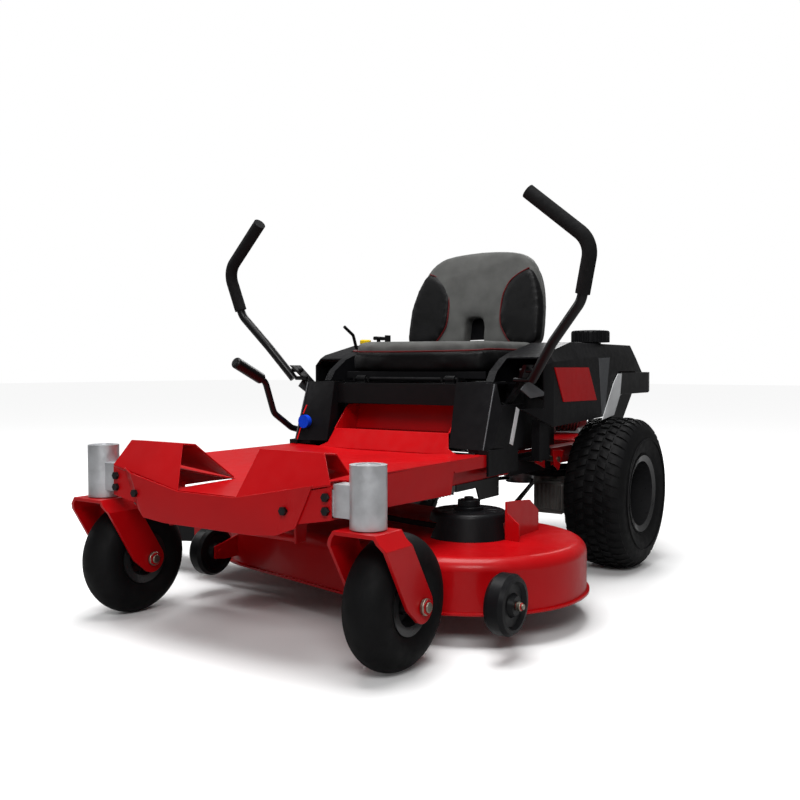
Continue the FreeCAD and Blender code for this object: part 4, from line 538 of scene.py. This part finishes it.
core_outline = smooth_outline(both_ways([
    (26, 764), (33, 748), (36, 710), (36, 674), (120, 670), (222, 672), (238, 704), (234, 800), (221, 860),
    (203, 906), (182, 940), (150, 964), (104, 975), (50, 979)]), 2)
core = stuffed("seat_back_pad", core_outline, 58, 7, on_back, MATERIALS["seat_vinyl"], 0.004)
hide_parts("seat_back")
shell = smooth_outline(both_ways([
    (0, 698), (150, 694), (206, 700), (226, 760), (220, 830), (203, 888), (180, 924), (140, 950),
    (60, 962)]), 2)
shell_mesh = mesh_from("seat_back_shell", *ring_of_faces(shell, 66, 53, on_back))
bevelled(new_object("seat_back_shell", shell_mesh, MATERIALS["black_plastic"], "seat",
                    smooth=False), 0.003)
for side, word in ((1, "left"), (-1, "right")):
    bolster = [(226, 676), (140, 679), (115, 710), (95, 745), (93, 800), (97, 843), (115, 882), (150, 905),
               (186, 918), (203, 892), (221, 848), (233, 800), (236, 712)]
    bolster = smooth_outline([(side * u, v) for u, v in bolster], 2)
    if side < 0:
        bolster.reverse()
    stuffed("seat_back_bolster_" + word, bolster, 40, -5, on_back, BOLSTER, 0.003)
    seam = [(140, 681), (115, 712), (96, 745), (94, 800), (98, 842), (115, 881), (150, 905), (188, 919)]
    path = []
    for first, last in zip(seam, seam[1:]):
        for step in range(5):
            share = step / 5
            path.append((first[0] + share * (last[0] - first[0]), first[1] + share * (last[1] - first[1])))
    for _ in range(3):
        path = [path[0]] + [tuple((a + 2 * b + c) / 4 for a, b, c in zip(*trio))
                            for trio in zip(path, path[1:], path[2:])] + [path[-1]]
    points = [on_back(side * u, v, 0.5) for u, v in path]
    joined("back_piping_" + word, [tube(points, 0.0024, 8)], PIPING, "seat")

base_outline = smooth_outline(both_ways([
    (200, -520), (238, -470), (240, -300), (232, -150), (205, -128), (110, -124)]), 2)
cushion = stuffed("seat_cushion_base", base_outline, 602, 656, on_cushion, BOLSTER, 0.006)
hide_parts("seat_cushion")
top_outline = smooth_outline(both_ways([
    (190, -514), (228, -468), (230, -300), (224, -152), (200, -134), (110, -130)]), 2)
stuffed("seat_cushion_top", top_outline, 636, 681, on_cushion, MATERIALS["seat_vinyl"], 0.006)
edge = [(u * 1.045, -322 + (v + 322) * 1.030) for u, v in top_outline]
joined("cushion_piping", [tube([on_cushion(u, v, 660.0) for u, v in edge], 0.0026, 8, closed=True)],
       PIPING, "seat")


# ---------------------------------------------------------------- rear tyres with a turf tread
def tyre_profile(share):
    """(radius, offset from the tyre's middle) in metres: share runs -1 to 1 from bead to bead."""
    reach = abs(share)
    sign = 1 if share >= 0 else -1
    stops = [(0.0, 0.2225, 0.0), (0.30, 0.2215, 0.042), (0.44, 0.2175, 0.066), (0.52, 0.2085, 0.081),
             (0.62, 0.190, 0.0915), (0.74, 0.163, 0.0945), (0.86, 0.134, 0.088), (0.94, 0.113, 0.076),
             (1.0, 0.1025, 0.068)]
    for (s0, r0, w0), (s1, r1, w1) in zip(stops, stops[1:]):
        if reach <= s1:
            part = (reach - s0) / (s1 - s0)
            return r0 + part * (r1 - r0), sign * (w0 + part * (w1 - w0))
    return stops[-1][1], sign * stops[-1][2]


LUGS_AROUND = 44
TYRE_SLICES = 120


def rear_tyre(side, word):
    middle = Vector((CENTRE_X + side * HALF_TRACK, AXLE_Y, REAR_TYRE_R))
    around = TYRE_SLICES
    shares = [-1 + step / 32 for step in range(65)]
    outer = [tyre_profile(share) for share in shares]
    inner = [(0.109, 0.060), (0.150, 0.082), (0.200, 0.070), (0.213, 0.0), (0.200, -0.070),
             (0.150, -0.082), (0.109, -0.060)]
    profile = outer + inner
    vertices, faces = [], []
    for step in range(around):
        turn = 2 * math.pi * step / around
        for radius, offset in profile:
            vertices.append(middle + Vector((offset, radius * math.cos(turn), radius * math.sin(turn))))
    count = len(profile)
    for step in range(around):
        following = (step + 1) % around
        for index in range(count):
            nearby = (index + 1) % count
            faces.append([step * count + index, step * count + nearby,
                          following * count + nearby, following * count + index])
    lugs = []

    def lug(turn, width, start, stop, slant, height):
        """One tread block between two offsets; its middle leans by slant radians."""
        rows = []
        steps = 5
        for step in range(steps):
            offset = start + (stop - start) * step / (steps - 1)
            share = 0.0
            while share < 1.0 and abs(tyre_profile(share)[1]) < abs(offset):
                share += 0.01
            radius = tyre_profile(share)[0]
            lean = turn + slant * (step / (steps - 1))
            edge_drop = 0.0022 if step in (0, steps - 1) else 0.0
            row = []
            for angle, lift in ((lean - width / 2, -0.004), (lean - width * 0.43, height - edge_drop),
                                (lean + width * 0.43, height - edge_drop), (lean + width / 2, -0.004)):
                r = radius + lift
                row.append(middle + Vector((offset, r * math.cos(angle), r * math.sin(angle))))
            rows.append(row)
        points = [point for row in rows for point in row]
        quads = []
        for step in range(steps - 1):
            for index in range(3):
                a = step * 4 + index
                quads.append([a, a + 1, a + 5, a + 4])
        quads.append([0, 1, 2, 3])
        last = (steps - 1) * 4
        quads.append([last + 3, last + 2, last + 1, last])
        lugs.append((points, quads))

    for step in range(LUGS_AROUND):
        turn = 2 * math.pi * step / LUGS_AROUND
        half = math.pi / LUGS_AROUND
        lug(turn, 0.088, -0.013, 0.013, 0.0, 0.0060)
        lug(turn + half, 0.090, 0.017, 0.043, 0.05, 0.0060)
        lug(turn + half, 0.090, -0.017, -0.043, 0.05, 0.0060)
        lug(turn + half * 0.2, 0.084, 0.047, 0.083, 0.05, 0.0052)
        lug(turn + half * 0.2, 0.084, -0.047, -0.083, 0.05, 0.0052)
    ribs = []
    for offset_sign in (-1, 1):
        for radius, offset in ((0.166, 0.0952), (0.120, 0.0815)):
            circle = [middle + Vector((offset_sign * offset, radius * math.cos(2 * math.pi * k / 96),
                                       radius * math.sin(2 * math.pi * k / 96))) for k in range(96)]
            ribs.append(tube(circle, 0.0022, 6, closed=True))
    name = "rear_tyre_" + word
    piece = joined(name + "_tread", [(vertices, faces)] + lugs + ribs, MATERIALS["tyre"],
                   "rear_wheel_" + word)
    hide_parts(name)


for side, word in ((1, "left"), (-1, "right")):
    rear_tyre(side, word)


# ---------------------------------------------------------------- trim and painted highlights
def plate_on(name, corners, thickness, material, edge=0.0008):
    """A thin plate laid on a panel: corners in machine millimetres, thickness a vector in metres."""
    vertices, faces = prism([at(*corner) for corner in corners], thickness)
    piece = new_object(name, mesh_from(name, vertices, faces), material, "frame", smooth=False)
    bm = bmesh.new()
    bm.from_mesh(piece.data)
    bmesh.ops.recalc_face_normals(bm, faces=bm.faces)
    bm.to_mesh(piece.data)
    bm.free()
    return bevelled(piece, edge)


FENDER_SIDE = 402.0
for side, word in ((1, "left"), (-1, "right")):
    face = side * (FENDER_SIDE - 0.5)
    out = Vector((side * 0.0022, 0, 0))
    plate_on("badge_" + word, [(face, -429, 609), (face, -195, 609), (face, -132, 513), (face, -369, 515)],
             out * 1.5, MATERIALS["red_paint"])
    # a lighter grey plate on the fender's front top: painted highlight of a lit facet
    plate_on("fender_facet_highlight_" + word,
             [(face, -116, 637), (face, -26, 639), (face, -64, 463), (face, -86, 462)], out * 0.6,
             PAINTED_EDGE_HIGHLIGHT, 0.0004)
    # a lighter grey plate by the lever slot: painted highlight of a lit facet of the fender
    plate_on("slot_facet_highlight_" + word, [(side * 372, -570, 553), (side * 377, -540, 576),
                                     (side * 391, -446, 536), (side * 376, -522, 529)],
             Vector((side * 0.003, 0, 0)), PAINTED_EDGE_HIGHLIGHT)
    # a pale strip on the pod's outer side: painted highlight along the side face's vertical recess
    pod = side * 329.6
    plate_on("pod_recess_highlight_" + word, [(pod, -508, 505), (pod, -491, 497), (pod, -528, 404), (pod, -546, 410)],
             Vector((side * 0.0014, 0, 0)), PAINTED_PALE_HIGHLIGHT, 0.0004)
    # a lighter grey thin tube along the pod's front-to-side edge: painted highlight on that edge
    pod_corner = [at(side * 312.2, -597 - 59 * k / 8, 566 - 168 * k / 8) for k in range(9)]
    joined("pod_edge_highlight_" + word, [tube(pod_corner, 0.0017, 8)], PAINTED_EDGE_HIGHLIGHT, "frame")
    # a black plate over the outer face of the frame rail below the pod, which makes that stretch of rail
    # read dark
    box_piece("rail_black_plate_" + word, *sorted_corners(at(side * 300.4, -495, 316), at(side * 304, -232, 374)),
              MATERIALS["black_paint"], "frame", "black_paint")
    for number, tab in enumerate(([(-409, 375), (-339, 369), (-338, 327), (-396, 346)],
                                  [(-285, 373), (-208, 368), (-243, 312), (-271, 326)])):
        plate_on(f"arm_tab_{word}_{number}", [(side * 331, y, z) for y, z in tab],
                 Vector((side * 0.004, 0, 0)), MATERIALS["red_paint"])
        y = sum(point[0] for point in tab) / 4
        z = sum(point[1] for point in tab) / 4
        joined(f"arm_pin_{word}_{number}", [tube([at(side * 301, y, z), at(side * 340, y, z)], 0.008, 20)],
               MATERIALS["zinc"], "frame")


# the cutting height scale beside the dial: two slanted bars
for number, (top, bottom) in enumerate((((-292, 500), (-300, 474)), ((-301, 434), (-308, 392)))):
    corners = []
    for (x, z), shift in ((top, -2.2), (top, 2.2), (bottom, 2.2), (bottom, -2.2)):
        lean = -604.5 - (570 - z) * 0.262
        corners.append((x + shift, lean - 0.10 * (-x - 204) * 0.35, z))
    plate_on(f"height_scale_{number}", corners, Vector((0, -0.0016, 0)), RED_TRIM, 0.0004)


# ---------------------------------------------------------------- cooling fins
def fins(name, low, high, count, axis, thickness, material, body, slot):
    """A row of cooling fins that fills the box from low to high, spaced along one axis."""
    parts = []
    for index in range(count):
        share = index / (count - 1)
        place = low[axis] + share * (high[axis] - low[axis] - thickness)
        corner = low.copy()
        corner[axis] = place
        size = high - low
        size[axis] = thickness
        vertices = [corner + Vector((size.x * i, size.y * j, size.z * k))
                    for k in (0, 1) for j in (0, 1) for i in (0, 1)]
        parts.append((vertices, [[0, 2, 3, 1], [4, 5, 7, 6], [0, 1, 5, 4], [2, 6, 7, 3], [0, 4, 6, 2],
                                 [1, 3, 7, 5]]))
    piece = joined(name, parts, material, body)
    return bevelled(piece, min(0.0008, thickness * 0.3))


# ---------------------------------------------------------------- braces, bolt heads and caps
TYRE_TOP = 463.0            # the braces end above the rear tyres
for side, word in ((1, "left"), (-1, "right")):
    brace_x = side * (FENDER_SIDE + 1.5)
    brace = ((-90, 453), (2, 563), (38, 590), (70, 590), (56, 522), (6, TYRE_TOP))
    # a brace plate between fender and guard; its pale tone is a painted reflection band along the strut
    plate_on("guard_brace_" + word, [(brace_x, y, z) for y, z in brace],
             Vector((side * 0.0025, 0, 0)), PAINTED_PALE_HIGHLIGHT, 0.0006)


def capped_bolt(name, middle, axis, radius, length, material, body):
    """A domed bolt head: a short round bar with a stepped crown, along one axis."""
    along = Vector(axis)
    crown = [tube([middle, middle + along * length * 0.62], radius, 24),
             tube([middle + along * length * 0.62, middle + along * length], radius * 0.62, 24)]
    bevelled(joined(name, crown, material, body), radius * 0.12)


SCALP_WHEELS = {"left": (552, -990, 1), "right": (-361, -944, -1)}      # x, y, the way outward
SCALP_HALF_WIDTH = 25.6
SCALP_Z = 117.0
CASTER_HALF_TRACK = 396.0
CASTER_AXLE_Y = -1173.0
CASTER_AXLE_Z = 139.7
FORK_HALF_WIDTH = 70.2
for word, (x, y, outward) in SCALP_WHEELS.items():
    end = at(x + outward * SCALP_HALF_WIDTH, y, SCALP_Z)
    capped_bolt("scalp_bolt_" + word, end, (outward, 0, 0), 0.0094, 0.0160, MATERIALS["zinc"],
                "deck")
for side, word in ((1, "left"), (-1, "right")):
    for number, outward in enumerate((-1, 1)):
        x = side * CASTER_HALF_TRACK + outward * FORK_HALF_WIDTH
        capped_bolt(f"caster_bolt_{word}_{number}", at(x, CASTER_AXLE_Y, CASTER_AXLE_Z),
                    (outward, 0, 0), 0.0170, 0.0145, MATERIALS["zinc"], f"fork_{word}")
    box_piece("pod_sill_" + word, *sorted_corners(at(side * 264, -648, 389), at(side * 326, -504, 401)),
              MATERIALS["black_plastic"], "frame", "black_plastic")
    plate_on("lift_plate_" + word, [(side * 301, y, z) for y, z in (
        (-776, 324), (-556, 324), (-556, 273), (-660, 273), (-676, 306), (-776, 306))],
             Vector((side * 0.004, 0, 0)), MATERIALS["black_paint"])
box_piece("seat_skirt", *sorted_corners(at(-236, -506, 578), at(236, -502, 598)),
          MATERIALS["black_plastic"], "seat_carrier", "black_plastic")

# a stepped crown with twelve ribs around it on each spindle housing
SPINDLES = {"left": (308, -720), "right": (-229, -610)}
HOUSING_TOP = 257.0
CROWN_STEPS = ((0.0, 0.010, 0.036, 32), (0.010, 0.026, 0.028, 32), (0.026, 0.033, 0.012, 24))
CROWN_RIBS = 12
for word, (x, y) in SPINDLES.items():
    top = at(x, y, HOUSING_TOP)
    crown = [tube([top + Vector((0, 0, low)), top + Vector((0, 0, high))], radius, sides)
             for low, high, radius, sides in CROWN_STEPS]
    for k in range(CROWN_RIBS):
        turn = math.radians(360 / CROWN_RIBS * k)
        inner = top + Vector((0.042 * math.cos(turn), 0.042 * math.sin(turn), 0.0))
        outer = top + Vector((0.076 * math.cos(turn), 0.076 * math.sin(turn), 0.0))
        crown.append(tube([inner, outer], 0.0028, 6))
    bevelled(joined("spindle_cap_" + word, crown, MATERIALS["black_plastic"], "deck"),
             0.0015)

# ribs on the transaxle cases, front and outer faces
for side, word in ((1, "left"), (-1, "right")):
    for face, (low_y, high_y) in (("front", (-128, -118)), ("rear", (68, 78))):
        corners = sorted_corners(at(side * 202, low_y, 176), at(side * 286, high_y, 250))
        fins(f"case_ribs_{face}_{word}", *corners, 7, 0, 0.004, CASE_METAL, "frame", "dark_casting")
    fins("case_ribs_side_" + word, *sorted_corners(at(side * 200, -112, 160), at(side * 288, 62, 168)),
         9, 1, 0.004, CASE_METAL, "frame", "dark_casting")


# ---------------------------------------------------------------- floor, light and camera
FLOOR_TONE = 0.92           # what the camera sees of the floor near the machine
WORLD_DIM = 0.20            # the studio's strength for everything but the camera
floor_mesh = mesh_from("floor", [(-30, -30, 0), (30, -30, 0), (30, 30, 0), (-30, 30, 0)], [[0, 1, 2, 3]])
floor = bpy.data.objects.new("floor", floor_mesh)
bpy.context.scene.collection.objects.link(floor)
ground = Nodes("ground")
ground.set(Roughness=0.55, Specular_IOR_Level=0.25)
GLOW_START, GLOW_END = 0.85, 2.6        # metres from the machine where the far floor turns white
away = ground.tree.nodes.new("ShaderNodeVectorMath")
away.operation = "LENGTH"
ground.link(ground.coordinates, away.inputs[0])
glow = ground.spread(away.outputs["Value"], 0.0, 0.75, GLOW_START, GLOW_END)
shown = ground.tree.nodes.new("ShaderNodeMath")
shown.operation = "MULTIPLY"
ground.link(glow, shown.inputs[0])
ground.link(ground.tree.nodes.new("ShaderNodeLightPath").outputs["Is Camera Ray"], shown.inputs[1])
ground.link(shown.outputs["Value"], ground.shader.inputs["Emission Strength"])
ground.set(Emission_Color=(1.0, 1.0, 1.0, 1.0))
FLOOR_BOUNCE = 0.42                     # the floor's tone in reflections: the studio around is dim
tone = ground.tree.nodes.new("ShaderNodeMix")
tone.data_type = "RGBA"
tone.inputs[6].default_value = (FLOOR_BOUNCE, FLOOR_BOUNCE, FLOOR_BOUNCE, 1.0)
tone.inputs[7].default_value = (FLOOR_TONE, FLOOR_TONE, FLOOR_TONE, 1.0)
ground.link(ground.tree.nodes.new("ShaderNodeLightPath").outputs["Is Camera Ray"], tone.inputs[0])
ground.link(tone.outputs[2], ground.shader.inputs["Base Color"])
floor_mesh.materials.append(ground.material)


def area_light(name, place, target, size, power, shape=(1.0, 1.0)):
    light = bpy.data.lights.new(name, "AREA")
    light.shape = "RECTANGLE"
    light.size = size * shape[0]
    light.size_y = size * shape[1]
    light.energy = power
    thing = bpy.data.objects.new(name, light)
    thing.location = place
    thing.rotation_euler = (Vector(target) - Vector(place)).to_track_quat("-Z", "Y").to_euler()
    bpy.context.scene.collection.objects.link(thing)


area_light("top_softbox", (0.2, -0.5, 3.4), (0, -0.1, 0.3), 2.2, 140)
area_light("key_softbox", (2.3, -3.5, 2.9), (0, -0.3, 0.4), 1.3, 92, (1.4, 1.0))
area_light("side_strip", (-3.4, -0.6, 2.2), (-0.4, -0.1, 0.4), 0.9, 34, (0.6, 2.0))
area_light("rear_softbox", (-0.8, 3.6, 2.8), (0, 0.2, 0.5), 1.8, 60)

world = bpy.data.worlds.new("studio")
world.use_nodes = True
tree = world.node_tree
background = tree.nodes["Background"]
background.inputs["Color"].default_value = (1.0, 1.0, 1.0, 1.0)
seen = tree.nodes.new("ShaderNodeMapRange")
seen.inputs["To Min"].default_value = WORLD_DIM
seen.inputs["To Max"].default_value = 1.0
tree.links.new(tree.nodes.new("ShaderNodeLightPath").outputs["Is Camera Ray"], seen.inputs["Value"])
tree.links.new(seen.outputs["Result"], background.inputs["Strength"])
bpy.context.scene.world = world
bpy.context.scene.view_settings.view_transform = "Standard"
bpy.context.scene.view_settings.look = "None"

CAMERA_AZIMUTH = math.radians(34.2)
CAMERA_ELEVATION = math.radians(2.1)
camera_data = bpy.data.cameras.new("camera")
camera_data.lens = 40.19
camera_data.sensor_width = 36.0
camera = bpy.data.objects.new("camera", camera_data)
camera.location = at(1404.6, -2637.4, 609.9)
looking = Vector((-math.sin(CAMERA_AZIMUTH) * math.cos(CAMERA_ELEVATION),
                  math.cos(CAMERA_AZIMUTH) * math.cos(CAMERA_ELEVATION),
                  -math.sin(CAMERA_ELEVATION)))
camera.rotation_euler = looking.to_track_quat("-Z", "Y").to_euler()
bpy.context.scene.collection.objects.link(camera)
bpy.context.scene.camera = camera
